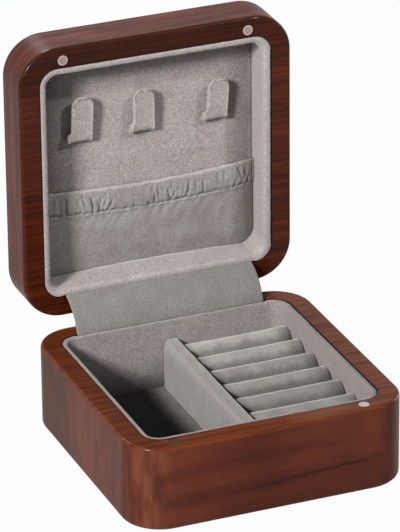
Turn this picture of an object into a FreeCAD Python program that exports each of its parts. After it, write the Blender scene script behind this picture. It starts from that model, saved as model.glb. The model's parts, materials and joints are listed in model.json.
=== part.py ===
import FreeCAD, Part
import os
import re
import Sketcher
from FreeCAD import Placement, Rotation, Vector

# A square wooden jewelry box with a hinged lid, standing open.
# Millimetres; X to the right, Y to the back, Z up; the origin is the centre of the base's underside.
# The two wooden halves and their linings are drawn in a frame of their own, with the rim at zero and
# the wood above it, and are then seated: the base turned over, the lid swung open about its hinges.

DIMENSIONS = [
    ("box_width", 100.0, "outside width of both halves"),
    ("box_depth", 100.0, "outside depth of both halves"),
    ("corner_radius", 14.0, "outside corner radius in plan"),
    ("wall", 7.4, "thickness of the wooden walls, the width of the rims"),
    ("base_height", 30.5, "height of the base"),
    ("base_floor", 3.8, "wood below the base's hollow"),
    ("base_edge_round", 1.8, "round on the base's foot edge"),
    ("lid_height", 17.5, "height of the lid"),
    ("lid_top", 3.0, "wood above the lid's hollow"),
    ("lid_edge_round", 1.8, "round on the lid's top edge"),
    ("rim_round", 1.2, "round on the outer edge of both rims"),
    ("closing_gap", 0.3, "gap between the rims when shut"),
    ("open_angle", 90.0, "angle of the open lid, where the heels of the hinges meet"),
    ("liner_gap", 0.1, "glue line between wood and lining"),
    ("liner_thickness", 1.7, "thickness of the padded wall linings"),
    ("liner_drop", 0.4, "lip of the linings below the rims"),
    ("lip_round", 0.8, "round on the lips of the linings"),
    ("floor_pad", 1.6, "thickness of the base's floor board"),
    ("lid_panel", 1.4, "thickness of the lid's board"),
    ("board_gap", 0.15, "clearance of both boards in their linings"),
    ("divider_x", -1.2, "middle of the divider"),
    ("divider_thickness", 6.2, "thickness of the padded divider"),
    ("divider_height", 18.9, "height of the divider above the floor board"),
    ("divider_round", 1.7, "round on the divider's top edges"),
    ("divider_gap", 0.15, "clearance of the divider between the linings"),
    ("roll_count", 7, "number of ring rolls"),
    ("roll_height", 17.6, "crest of the ring rolls above the floor board"),
    ("roll_slit", 0.4, "slit between two ring rolls"),
    ("roll_end_gap", 0.5, "clearance round the ring rolls"),
    ("magnet_radius", 2.0, "radius of the magnets"),
    ("magnet_thickness", 2.0, "thickness of the magnets"),
    ("magnet_side", 16.0, "distance of the magnets from the side faces"),
    ("magnet_inset", 4.7, "distance of the magnets from the front face"),
    ("magnet_fit", 0.05, "clearance round the magnets"),
    ("magnet_sink", 0.1, "magnets below the rims"),
    ("magnet_round", 0.3, "round on the shown edge of the magnets"),
    ("hinge_side", 29.0, "middle of the hinges from the side faces"),
    ("hinge_width", 20.0, "width of the hinges"),
    ("hinge_offset", 2.7, "hinge axis behind the back faces"),
    ("leaf_thickness", 1.0, "thickness of the hinge leaves"),
    ("leaf_length", 6.2, "hinge leaves from the back face inwards"),
    ("leaf_fit", 0.1, "clearance round the leaves in their recesses"),
    ("knuckle_radius", 2.0, "outside radius of the knuckles"),
    ("lid_knuckle", 7.0, "length of the lid's knuckle, in the middle of the hinge"),
    ("knuckle_play", 0.2, "gap between two knuckles"),
    ("pin_radius", 0.75, "radius of the hinge pins"),
    ("pin_fit", 0.05, "clearance of the pins in the knuckles"),
    ("heel_reach", 3.8, "reach of the stop heels from the hinge axis"),
    ("heel_thickness", 1.0, "thickness of the stop heels"),
    ("heel_play", 0.3, "gap between the base's heel and the lid's knuckle"),
    ("screw_radius", 0.7, "radius of the screw shanks"),
    ("screw_head_radius", 1.3, "radius of the countersunk heads"),
    ("screw_head", 0.7, "height of the countersunk heads"),
    ("screw_length", 5.0, "length of the screws"),
    ("screw_spacing", 12.0, "distance between the two screws of a leaf"),
    ("screw_inset", 3.2, "distance of the screws from the back face"),
    ("screw_fit", 0.05, "clearance round the screws"),
    ("slot_width", 0.4, "width of the driver slots"),
    ("slot_depth", 0.3, "depth of the driver slots"),
    ("flap_side", 1.0, "edges of the cloth flap over the hinges, from where the corners begin"),
    ("flap_thickness", 0.7, "thickness of the flap"),
    ("flap_fit", 0.1, "clearance of the flap's hems behind the linings"),
    ("flap_hem", 4.0, "length of the hems behind the linings"),
    ("flap_radius", 18.0, "radius of the flap's bow from lining to lining"),
    ("hook_width", 8.0, "width of the necklace tabs"),
    ("hook_foot", 59.3, "foot of the tabs from the lid's back edge"),
    ("hook_rise", 16.2, "height of the tabs"),
    ("hook_thickness", 1.5, "thickness of the tabs"),
    ("hook_standoff", 3.2, "shown face of the tabs from the lid's board"),
    ("hook_bend", 2.4, "outer radius of the bend at the foot of the tabs"),
    ("hook_lean", 0.7, "tip of the tabs leans out by this much"),
    ("hook_tip_round", 3.8, "round on the two corners of the tips"),
    ("hook_left_side", 26.1, "middle of the left tab from the left face"),
    ("hook_middle_x", -1.15, "middle of the middle tab"),
    ("hook_right_side", 23.1, "middle of the right tab from the right face"),
    ("pocket_gap", 0.15, "clearance of the pocket from board and linings"),
    ("pocket_height", 32.2, "height of the pocket with its casing"),
    ("pocket_thickness", 1.2, "depth of the pocket's cloth in front of the board"),
    ("fold_count", 12, "number of folds across the pocket"),
    ("fold_swell", 0.5, "height of the folds below the casing"),
    ("fold_fade_share", 0.2, "share of that height left at the pocket's foot"),
    ("casing_height", 8.2, "height of the gathered casing"),
    ("casing_thickness", 2.0, "depth of the casing in the valleys of its gathers"),
    ("gather_count", 26, "number of gathers in the casing"),
    ("gather_swell", 0.6, "height of the gathers"),
    ("elastic_height", 6.0, "width of the elastic band"),
    ("elastic_thickness", 0.6, "thickness of the elastic band"),
    ("elastic_fit", 0.1, "clearance of the band in its casing"),
    ("overrun", 1.0, "cuts run past the faces by this much"),
]

doc = FreeCAD.newDocument("jewelry_box")
sheet = doc.addObject("Spreadsheet::Sheet", "Sizes")
for row, (alias, number, note) in enumerate(DIMENSIONS, 1):
    sheet.set(f"A{row}", alias)
    sheet.set(f"B{row}", str(number))
    sheet.setAlias(f"B{row}", alias)
    sheet.set(f"C{row}", note)
doc.recompute()


# Formulas in the names of the sizes

HALF_DEPTH = "box_depth / 2"
CAVITY_INSET = "(wall + liner_gap)"
INNER_INSET = "(wall + liner_gap + liner_thickness)"
BOARD_INSET = "(wall + liner_gap + liner_thickness + board_gap)"
INNER_HALF_WIDTH = f"(box_width / 2 - {INNER_INSET})"
INNER_HALF_DEPTH = f"({HALF_DEPTH} - {INNER_INSET})"
FLOOR_LEVEL = "(base_floor + floor_pad)"
PANEL_LEVEL = "(lid_height - lid_top - lid_panel)"
AXIS_Y = f"({HALF_DEPTH} + hinge_offset)"
AXIS_LEVEL = "(-closing_gap / 2)"
MAGNET_X = "(box_width / 2 - magnet_side)"
HINGE_X = "(box_width / 2 - hinge_side)"
FLAP_HALF_WIDTH = "(box_width / 2 - corner_radius - flap_side)"
HOOK_X = {
    "left": "(hook_left_side - box_width / 2)",
    "middle": "hook_middle_x",
    "right": "(box_width / 2 - hook_right_side)",
}


def bind(formula):
    """Turn a formula in the names of the sizes into an expression on the sheet."""
    return re.sub(r"[a-z]\w*", lambda name: "Sizes." + name.group(), str(formula))


def size(formula):
    """Work out a formula in the names of the sizes."""
    return float(sheet.evalExpression(bind(formula)))


def count(alias):
    return int(round(size(alias)))


# Seats: where the pieces drawn from the rim stand in the finished box

def base_seat():
    """Rim up: the base's pieces are drawn from the rim and turned over."""
    return Placement(Vector(0, 0, size("base_height")), Rotation(Vector(0, 1, 0), 180))


def lid_seat():
    """The lid's pieces are drawn shut and swung open about the hinge axis."""
    shut = Placement(Vector(0, 0, size("base_height + closing_gap")), Rotation())
    axis = Vector(0, size(AXIS_Y), size("base_height + closing_gap / 2"))
    swing = Placement(Vector(), Rotation(Vector(1, 0, 0), -size("open_angle")), axis)
    return swing.multiply(shut)


BASE_SEAT = base_seat()
LID_SEAT = lid_seat()
nodes = []


def keep(piece, name, seat=None):
    """Name a finished piece, seat it and list it for writing."""
    piece.Label = name
    if seat is not None:
        piece.Placement = seat
    nodes.append(piece)
    return piece


# Drawing

def new_body(name):
    return doc.addObject("PartDesign::Body", name)


def new_sketch(body, name, plane, lift="0"):
    """An empty sketch on one of the body's own planes, lifted off it by a formula."""
    drawn = body.newObject("Sketcher::SketchObject", name)
    support = [part for part in body.Origin.OriginFeatures if part.Role == plane][0]
    drawn.AttachmentSupport = [(support, "")]
    drawn.MapMode = "FlatFace"
    drawn.setExpression("AttachmentOffset.Base.z", bind(lift))
    return drawn


def arc_between(start, end, radius):
    """The short arc from start to end that turns left about its centre."""
    chord = end - start
    half = chord.Length / 2
    across = Vector(-chord.y, chord.x, 0).normalize()
    centre = start + chord * 0.5 + across * max(radius * radius - half * half, 0.0) ** 0.5
    circle = Part.Circle(centre, Vector(0, 0, 1), radius)
    return Part.ArcOfCircle(circle, circle.parameter(start), circle.parameter(end))


def outline(drawn, corners, arcs=None):
    """Draw a closed outline through corners, each a pair of formulas.

    arcs maps the number of a side to a formula for its radius; a minus sign before the radius
    makes the arc turn right. Every other side is straight.
    """
    arcs = arcs or {}
    points = [Vector(size(across), size(up), 0) for across, up in corners]
    starts = []
    ends = []
    for side, start in enumerate(points):
        end = points[(side + 1) % len(points)]
        radius = arcs.get(side)
        if radius is None:
            shape = drawn.addGeometry(Part.LineSegment(start, end), False)
        elif radius.startswith("-"):
            shape = drawn.addGeometry(arc_between(end, start, size(radius[1:])), False)
        else:
            shape = drawn.addGeometry(arc_between(start, end, size(radius)), False)
        turned = radius is not None and radius.startswith("-")
        starts.append((shape, 2 if turned else 1))
        ends.append((shape, 1 if turned else 2))
    for side, start in enumerate(starts):
        drawn.addConstraint(Sketcher.Constraint("Coincident", *ends[side - 1], *start))
    for start, point, formulas in zip(starts, points, corners):
        for kind, value, formula in zip(("DistanceX", "DistanceY"), (point.x, point.y), formulas):
            number = drawn.addConstraint(Sketcher.Constraint(kind, -1, 1, *start, value))
            drawn.setExpression(f"Constraints[{number}]", bind(formula))
    for side, radius in arcs.items():
        formula = radius.lstrip("-")
        number = drawn.addConstraint(Sketcher.Constraint("Radius", starts[side][0], size(formula)))
        drawn.setExpression(f"Constraints[{number}]", bind(formula))


def rectangle(drawn, left, right, low, high):
    outline(drawn, [(left, low), (right, low), (right, high), (left, high)])


def rounded_plan(drawn, inset="0"):
    """The box's rounded outline in plan, drawn in by a formula."""
    across = f"(box_width / 2 - {inset})"
    along = f"({HALF_DEPTH} - {inset})"
    radius = f"(corner_radius - {inset})"
    corners = [
        (f"{radius} - {across}", f"-{along}"), (f"{across} - {radius}", f"-{along}"),
        (across, f"{radius} - {along}"), (across, f"{along} - {radius}"),
        (f"{across} - {radius}", along), (f"{radius} - {across}", along),
        (f"-{across}", f"{along} - {radius}"), (f"-{across}", f"{radius} - {along}"),
    ]
    outline(drawn, corners, {side: radius for side in (1, 3, 5, 7)})


def circle(drawn, across, up, radius):
    """A circle whose centre and radius are formulas."""
    centre = Vector(size(across), size(up), 0)
    shape = drawn.addGeometry(Part.Circle(centre, Vector(0, 0, 1), size(radius)), False)
    places = [("DistanceX", -1, 1, shape, 3, centre.x), ("DistanceY", -1, 1, shape, 3, centre.y)]
    for place, formula in zip(places, (across, up)):
        number = drawn.addConstraint(Sketcher.Constraint(*place))
        drawn.setExpression(f"Constraints[{number}]", bind(formula))
    number = drawn.addConstraint(Sketcher.Constraint("Radius", shape, size(radius)))
    drawn.setExpression(f"Constraints[{number}]", bind(radius))


# Features

def pad(drawn, length):
    """Raise a sketch along its own normal."""
    body = drawn.getParentGeoFeatureGroup()
    raised = body.newObject("PartDesign::Pad", drawn.Name + "_pad")
    raised.Profile = drawn
    raised.setExpression("Length", bind(length))
    doc.recompute()
    return raised


def pocket_up(drawn, depth):
    """Cut a sketch into the body along its own normal, and make sure that something was cut."""
    body = drawn.getParentGeoFeatureGroup()
    before = body.Tip.Shape.Volume
    cut = body.newObject("PartDesign::Pocket", drawn.Name + "_cut")
    cut.Profile = drawn
    cut.Reversed = True
    cut.setExpression("Length", bind(depth))
    doc.recompute()
    if not cut.Shape.Volume < before:
        raise RuntimeError(f"{cut.Name} cuts nothing")
    return cut


def round_edges(body, radius, chosen):
    """Round the body's edges whose boxes pass a test."""
    last = body.Tip
    names = [f"Edge{n}" for n, edge in enumerate(last.Shape.Edges, 1) if chosen(edge.BoundBox)]
    made = body.newObject("PartDesign::Fillet", body.Name + "_round")
    made.Base = (last, names)
    made.setExpression("Radius", bind(radius))
    doc.recompute()
    return made


def near(first, second):
    return abs(first - second) < Part.Precision.confusion() * 10


def level_edges(level):
    """A test for edges that lie flat at one level."""
    height = size(level)
    return lambda box: near(box.ZMin, height) and near(box.ZMax, height)


# Wooden halves and their linings, drawn from the rim at zero

def leaf_places():
    """Side word and middle of each hinge in a half drawn from its rim."""
    return [("left", f"(-{HINGE_X})"), ("right", HINGE_X)]


def wooden_half(name, height, floor, edge_round, seat):
    """A solid wooden tray with its hollow, magnet holes, leaf recesses and screw holes."""
    body = new_body(name)
    plan = new_sketch(body, name + "_plan", "XY_Plane")
    rounded_plan(plan)
    pad(plan, height)
    round_edges(body, edge_round, level_edges(height))
    round_edges(body, "rim_round", level_edges("0"))
    hollow = new_sketch(body, name + "_hollow", "XY_Plane")
    rounded_plan(hollow, "wall")
    pocket_up(hollow, f"{height} - {floor}")
    holes = new_sketch(body, name + "_magnet_holes", "XY_Plane")
    recesses = new_sketch(body, name + "_leaf_recesses", "XY_Plane")
    pilots = new_sketch(body, name + "_screw_holes", "XY_Plane")
    for side in ("-", ""):
        circle(holes, side + MAGNET_X, f"magnet_inset - {HALF_DEPTH}", "magnet_radius + magnet_fit")
    for _, middle in leaf_places():
        reach = "(hinge_width / 2 + leaf_fit)"
        front = f"{HALF_DEPTH} - leaf_length - leaf_fit"
        rectangle(recesses, f"{middle} - {reach}", f"{middle} + {reach}", front, f"{HALF_DEPTH} + overrun")
        for side in ("-", "+"):
            place = f"{middle} {side} screw_spacing / 2"
            circle(pilots, place, f"{HALF_DEPTH} - screw_inset", "screw_radius + screw_fit")
    pocket_up(holes, "magnet_thickness + magnet_sink")
    pocket_up(recesses, "leaf_thickness")
    pocket_up(pilots, "screw_length + screw_fit")
    return keep(body, name, seat)


def wall_liner(name, height, floor, seat):
    """A padded band round the hollow, with a round lip and a recess for the flap's hem."""
    body = new_body(name)
    band = new_sketch(body, name + "_band", "XY_Plane", "liner_drop")
    rounded_plan(band, CAVITY_INSET)
    rounded_plan(band, INNER_INSET)
    pad(band, f"{height} - {floor} - liner_drop")
    round_edges(body, "lip_round", level_edges("liner_drop"))
    hem = new_sketch(body, name + "_hem_recess", "XY_Plane")
    reach = f"({FLAP_HALF_WIDTH} + flap_fit)"
    front = f"{HALF_DEPTH} - wall - flap_thickness - 2 * flap_fit"
    rectangle(hem, f"-{reach}", reach, front, HALF_DEPTH)
    pocket_up(hem, "liner_drop + flap_hem + flap_fit")
    return keep(body, name, seat)


def board(name, height, floor, thickness, seat):
    """A velvet board that lies on the wood inside the lining."""
    body = new_body(name)
    plan = new_sketch(body, name + "_plan", "XY_Plane", f"{height} - {floor} - {thickness}")
    rounded_plan(plan, BOARD_INSET)
    pad(plan, thickness)
    return keep(body, name, seat)


def magnet(name, across, seat):
    """A disc let into the rim."""
    body = new_body(name)
    disc = new_sketch(body, name + "_disc", "XY_Plane", "magnet_sink")
    circle(disc, across, f"magnet_inset - {HALF_DEPTH}", "magnet_radius")
    pad(disc, "magnet_thickness")
    round_edges(body, "magnet_round", level_edges("magnet_sink"))
    return keep(body, name, seat)


def lined_space(name, gap, level, height):
    """The space inside a lining, held off it by a gap, to which soft pieces are cut."""
    body = new_body(name)
    plan = new_sketch(body, name + "_plan", "XY_Plane", level)
    rounded_plan(plan, f"({INNER_INSET} + {gap})")
    pad(plan, height)
    return body


# Inside the base

def divider():
    """A padded wall across the base, round along its top."""
    body = new_body("divider")
    left = "(divider_x - divider_thickness / 2)"
    right = "(divider_x + divider_thickness / 2)"
    top = f"({FLOOR_LEVEL} + divider_height)"
    end = f"({INNER_HALF_DEPTH} - divider_gap)"
    section = new_sketch(body, "divider_section", "XZ_Plane", f"-{end}")
    corners = [
        (left, FLOOR_LEVEL), (right, FLOOR_LEVEL), (right, f"{top} - divider_round"),
        (f"{right} - divider_round", top), (f"{left} + divider_round", top),
        (left, f"{top} - divider_round"),
    ]
    outline(section, corners, {2: "divider_round", 4: "divider_round"})
    pad(section, f"2 * {end}")
    return keep(body, "divider")


def ring_rolls():
    """Padded rolls side by side, cut to the rounded corners of the lining."""
    bay = lined_space("ring_bay", "roll_end_gap", FLOOR_LEVEL, "roll_height + overrun")
    start = "(divider_x + divider_thickness / 2 + roll_end_gap)"
    pitch = f"(2 * ({INNER_HALF_DEPTH} - roll_end_gap) / roll_count)"
    half = f"(({pitch} - roll_slit) / 2)"
    crest = f"({FLOOR_LEVEL} + roll_height)"
    for number in range(1, count("roll_count") + 1):
        middle = f"({INNER_HALF_DEPTH} - roll_end_gap - {pitch} * ({number} - 1 / 2))"
        body = new_body(f"roll_{number}")
        section = new_sketch(body, f"roll_{number}_section", "YZ_Plane", start)
        corners = [
            (f"{middle} - {half}", FLOOR_LEVEL), (f"{middle} + {half}", FLOOR_LEVEL),
            (f"{middle} + {half}", f"{crest} - {half}"), (middle, crest),
            (f"{middle} - {half}", f"{crest} - {half}"),
        ]
        outline(section, corners, {2: half, 3: half})
        pad(section, f"{INNER_HALF_WIDTH} - {start}")
        roll = doc.addObject("Part::Common", f"ring_roll_{number}")
        roll.Base = body
        roll.Tool = bay
        keep(roll, f"ring_roll_{number}")


# Hinges, drawn from the rim at zero with the axis behind the back face

def block(name, lengths, place, turn="0", out="0"):
    """A box given by formulas for its sizes and low corner, turned about X and moved out along its side."""
    made = doc.addObject("Part::Box", name)
    for axis, formula in zip(("Length", "Width", "Height"), lengths):
        made.setExpression(axis, bind(formula))
    turned = Rotation(Vector(1, 0, 0), size(turn))
    corner = Vector(*[size(formula) for formula in place])
    made.Placement = Placement(corner + turned.multVec(Vector(0, size(out), 0)), turned)
    return made


def rod(name, radius, length, place):
    """A cylinder along X with its sizes and its left end given by formulas."""
    made = doc.addObject("Part::Cylinder", name)
    made.setExpression("Radius", bind(radius))
    made.setExpression("Height", bind(length))
    made.Placement.Rotation = Rotation(Vector(0, 1, 0), 90)
    for axis, formula in zip("xyz", place):
        made.setExpression(f"Placement.Base.{axis}", bind(formula))
    return made


def upright(kind, name, radii, height, place):
    """A cylinder or cone along Z with its sizes and its low end given by formulas."""
    made = doc.addObject(kind, name)
    for radius, formula in radii.items():
        made.setExpression(radius, bind(formula))
    made.setExpression("Height", bind(height))
    for axis, formula in zip("xyz", place):
        made.setExpression(f"Placement.Base.{axis}", bind(formula))
    return made


def fuse(name, pieces):
    made = doc.addObject("Part::MultiFuse", name)
    made.Shapes = pieces
    return made


def cut(name, base, tool):
    made = doc.addObject("Part::Cut", name)
    made.Base = base
    made.Tool = tool
    return made


def leaf(name, middle, knuckles, bar, seat):
    """A hinge leaf: plate, knuckles given as start and length, stop heels, bore and screw holes."""
    left = f"({middle} - hinge_width / 2)"
    heel_turn = "open_angle / 2"
    front = f"({HALF_DEPTH} - leaf_length)"
    plate_end = f"({HALF_DEPTH} + hinge_offset - knuckle_radius - heel_play)"
    plate = ("hinge_width", f"{plate_end} - {front}", "leaf_thickness")
    solids = [block(name + "_plate", plate, (left, front, "0"))]
    for number, (start, length) in enumerate(knuckles, 1):
        begin = f"({left} + {start})"
        tag = f"{name}_{number}"
        neck = (length, f"{AXIS_Y} - {front}", "leaf_thickness")
        solids.append(block(tag + "_neck", neck, (begin, front, "0")))
        solids.append(rod(tag + "_knuckle", "knuckle_radius", length, (begin, AXIS_Y, AXIS_LEVEL)))
        heel = (length, "heel_reach", "heel_thickness")
        solids.append(block(tag + "_heel", heel, (begin, AXIS_Y, AXIS_LEVEL), heel_turn))
    if bar:
        clear = "(knuckle_radius + heel_play)"
        stop = ("hinge_width", f"heel_reach - {clear}", "heel_thickness")
        solids.append(block(name + "_stop_bar", stop, (left, AXIS_Y, AXIS_LEVEL), heel_turn, clear))
    bore_start = (f"{left} - overrun", AXIS_Y, AXIS_LEVEL)
    holes = [rod(name + "_bore", "pin_radius + pin_fit", "hinge_width + 2 * overrun", bore_start)]
    for side in ("-", "+"):
        place = (f"{middle} {side} screw_spacing / 2", f"{HALF_DEPTH} - screw_inset", "0")
        tag = name + ("_first" if side == "-" else "_second")
        sink = {"Radius1": "screw_head_radius + screw_fit", "Radius2": "screw_radius + screw_fit"}
        holes.append(upright("Part::Cone", tag + "_sink", sink, "screw_head", place))
        shank = {"Radius": "screw_radius + screw_fit"}
        holes.append(upright("Part::Cylinder", tag + "_hole", shank, "leaf_thickness + overrun", place))
    made = cut(name, fuse(name + "_solid", solids), fuse(name + "_holes", holes))
    return keep(made, name, seat)


def screws(name, seat):
    """Four countersunk screws with driver slots, flush with the leaves."""
    made = []
    for word, middle in leaf_places():
        for side in ("-", "+"):
            tag = f"{name}_{word}_" + ("first" if side == "-" else "second")
            across = f"({middle} {side} screw_spacing / 2)"
            along = f"({HALF_DEPTH} - screw_inset)"
            head = {"Radius1": "screw_head_radius", "Radius2": "screw_radius"}
            cone = upright("Part::Cone", tag + "_head", head, "screw_head", (across, along, "0"))
            shank = upright("Part::Cylinder", tag + "_shank", {"Radius": "screw_radius"},
                            "screw_length - screw_head", (across, along, "screw_head"))
            slot = block(tag + "_slot", ("2 * screw_head_radius + 2 * overrun", "slot_width", "slot_depth"),
                         (f"{across} - screw_head_radius - overrun", f"{along} - slot_width / 2", "0"))
            made.append(cut(tag, fuse(tag + "_solid", [cone, shank]), slot))
    group = doc.addObject("Part::Compound", name)
    group.Links = made
    return keep(group, name, seat)


def hinges():
    """Two butt hinges: the base's leaf has the outer knuckles, the lid's leaf the middle one."""
    outer = "((hinge_width - lid_knuckle) / 2 - knuckle_play)"
    base_knuckles = [("0", outer), (f"(hinge_width - {outer})", outer)]
    lid_knuckles = [("((hinge_width - lid_knuckle) / 2)", "lid_knuckle")]
    for word, middle in leaf_places():
        turned = HINGE_X if word == "left" else f"(-{HINGE_X})"
        leaf(f"hinge_base_leaf_{word}", turned, base_knuckles, True, BASE_SEAT)
        leaf(f"hinge_lid_leaf_{word}", middle, lid_knuckles, False, LID_SEAT)
        place = (f"{middle} - hinge_width / 2", AXIS_Y, "base_height + closing_gap / 2")
        keep(rod(f"hinge_pin_{word}", "pin_radius", "hinge_width", place), f"hinge_pin_{word}")
    screws("hinge_base_screws", BASE_SEAT)
    screws("hinge_lid_screws", LID_SEAT)


def flap():
    """A strip of cloth from behind the base's lining to behind the lid's, bowed over the hinges."""
    body = new_body("hinge_flap")
    axis_level = "(base_height + closing_gap / 2)"
    back = "(wall + hinge_offset + flap_fit)"
    face = "(wall + hinge_offset + flap_fit + flap_thickness)"
    hem = "(closing_gap / 2 + liner_drop + flap_hem)"
    section = new_sketch(body, "hinge_flap_section", "YZ_Plane", f"-{FLAP_HALF_WIDTH}")
    corners = [
        (f"{AXIS_Y} - {back}", f"{axis_level} - {hem}"), (f"{AXIS_Y} - {back}", axis_level),
        (AXIS_Y, f"{axis_level} + {back}"), (f"{AXIS_Y} + {hem}", f"{axis_level} + {back}"),
        (f"{AXIS_Y} + {hem}", f"{axis_level} + {face}"), (AXIS_Y, f"{axis_level} + {face}"),
        (f"{AXIS_Y} - {face}", axis_level), (f"{AXIS_Y} - {face}", f"{axis_level} - {hem}"),
    ]
    outline(section, corners, {1: "-flap_radius", 5: "flap_radius"})
    pad(section, f"2 * {FLAP_HALF_WIDTH}")
    return keep(body, "hinge_flap")


# Inside the lid, drawn from the rim at zero; the open lid's upward way is towards minus Y

def hook(word):
    """A cloth tab that comes out of the board, bends up and ends in a round tip."""
    name = f"hook_{word}"
    body = new_body(name)
    foot = f"({HALF_DEPTH} - hook_foot)"
    tip = f"({foot} - hook_rise)"
    face = f"({PANEL_LEVEL} - hook_standoff)"
    bent = f"({foot} - hook_bend)"
    inner = "(hook_bend - hook_thickness)"
    section = new_sketch(body, name + "_section", "YZ_Plane", f"{HOOK_X[word]} - hook_width / 2")
    corners = [
        (foot, PANEL_LEVEL), (f"{foot} - hook_thickness", PANEL_LEVEL),
        (f"{foot} - hook_thickness", f"{face} + hook_bend"), (bent, f"{face} + hook_thickness"),
        (tip, f"{face} + hook_thickness - hook_lean"), (tip, f"{face} - hook_lean"),
        (bent, face), (foot, f"{face} + hook_bend"),
    ]
    outline(section, corners, {2: f"-{inner}", 6: "hook_bend"})
    pad(section, "hook_width")
    end = size(tip)
    round_edges(body, "hook_tip_round",
                lambda box: near(box.YMin, end) and near(box.YMax, end) and near(box.XMin, box.XMax))
    return keep(body, name, LID_SEAT)


def gathered_wire(along, back, front, swell, number):
    """A closed outline across the lid: flat at the back, a row of swelling gathers in front."""
    reach = size(f"{INNER_HALF_WIDTH} - pocket_gap")
    step = 2 * reach / number
    edges = []
    for gather in range(number):
        start = Vector(-reach + gather * step, along, front)
        end = Vector(-reach + (gather + 1) * step, along, front)
        crown = Vector(-reach + (gather + 0.5) * step, along, front - swell)
        edges.append(Part.Arc(start, crown, end).toShape())
    loop = [Vector(reach, along, front), Vector(reach, along, back), Vector(-reach, along, back),
            Vector(-reach, along, front)]
    edges += [Part.LineSegment(first, second).toShape() for first, second in zip(loop, loop[1:])]
    return Part.Wire(edges)


def pocket():
    """A gathered cloth pocket: casing along the top, folds that fade to its foot, and the elastic."""
    foot = size(f"{INNER_HALF_DEPTH} - pocket_gap")
    seam = size(f"{INNER_HALF_DEPTH} - pocket_gap - pocket_height + casing_height")
    top = size(f"{INNER_HALF_DEPTH} - pocket_gap - pocket_height")
    back = size(f"{PANEL_LEVEL} - pocket_gap")
    swell = size("fold_swell")
    front = back - size("pocket_thickness")
    folds = [gathered_wire(seam, back, front, swell, count("fold_count")),
             gathered_wire(foot, back, front, swell * size("fold_fade_share"), count("fold_count"))]
    bay = lined_space("pocket_bay", "pocket_gap", "0", PANEL_LEVEL)
    cloth = doc.addObject("Part::Feature", "pocket_cloth")
    cloth.Shape = Part.makeLoft(folds, True, True).common(bay.Shape)
    keep(cloth, "pocket_cloth", LID_SEAT)

    casing_front = back - size("casing_thickness")
    section = gathered_wire(top, back, casing_front, size("gather_swell"), count("gather_count"))
    whole = Part.Face(section).extrude(Vector(0, seam - top, 0))
    reach = f"({INNER_HALF_WIDTH} - pocket_gap)"
    middle = f"({INNER_HALF_DEPTH} - pocket_gap - pocket_height + casing_height / 2)"
    band_level = f"({PANEL_LEVEL} - pocket_gap - casing_thickness / 2)"
    tunnel = Part.makeBox(size(f"2 * {reach}"), size("elastic_height + 2 * elastic_fit"),
                          size("elastic_thickness + 2 * elastic_fit"),
                          Vector(size(f"-{reach}"), size(f"{middle} - elastic_height / 2 - elastic_fit"),
                                 size(f"{band_level} - elastic_thickness / 2 - elastic_fit")))
    casing = doc.addObject("Part::Feature", "pocket_casing")
    casing.Shape = whole.cut(tunnel)
    keep(casing, "pocket_casing", LID_SEAT)

    body = new_body("pocket_elastic")
    section = new_sketch(body, "pocket_elastic_plan", "XY_Plane", f"{band_level} - elastic_thickness / 2")
    low = f"{middle} - elastic_height / 2"
    high = f"{middle} + elastic_height / 2"
    rectangle(section, f"-{reach}", reach, low, high)
    pad(section, "elastic_thickness")
    keep(body, "pocket_elastic", LID_SEAT)


# The box

wooden_half("base_shell", "base_height", "base_floor", "base_edge_round", BASE_SEAT)
wall_liner("base_liner", "base_height", "base_floor", BASE_SEAT)
board("base_floor_pad", "base_height", "base_floor", "floor_pad", BASE_SEAT)
divider()
ring_rolls()
magnet("base_magnet_left", MAGNET_X, BASE_SEAT)
magnet("base_magnet_right", f"-{MAGNET_X}", BASE_SEAT)
wooden_half("lid_shell", "lid_height", "lid_top", "lid_edge_round", LID_SEAT)
wall_liner("lid_liner", "lid_height", "lid_top", LID_SEAT)
board("lid_panel", "lid_height", "lid_top", "lid_panel", LID_SEAT)
magnet("lid_magnet_left", f"-{MAGNET_X}", LID_SEAT)
magnet("lid_magnet_right", MAGNET_X, LID_SEAT)
for word in HOOK_X:
    hook(word)
pocket()
hinges()
flap()
doc.recompute()

# Every object has to be whole before anything is written

for made in doc.Objects:
    if "Invalid" in made.State or "Error" in made.State:
        raise RuntimeError(f"{made.Name} failed: {made.State}")
for node in nodes:
    if node.Shape.isNull() or not node.Shape.isValid() or not node.Shape.Solids:
        raise RuntimeError(f"{node.Label} is not a whole solid")
os.makedirs("parts", exist_ok=True)
for node in nodes:
    node.Shape.exportStep(f"parts/{node.Label}.step")
    print(node.Label, len(node.Shape.Solids), round(node.Shape.Volume, 2))
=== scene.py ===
import json
import math

import bmesh
import bpy
from mathutils import Matrix, Vector, noise


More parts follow.
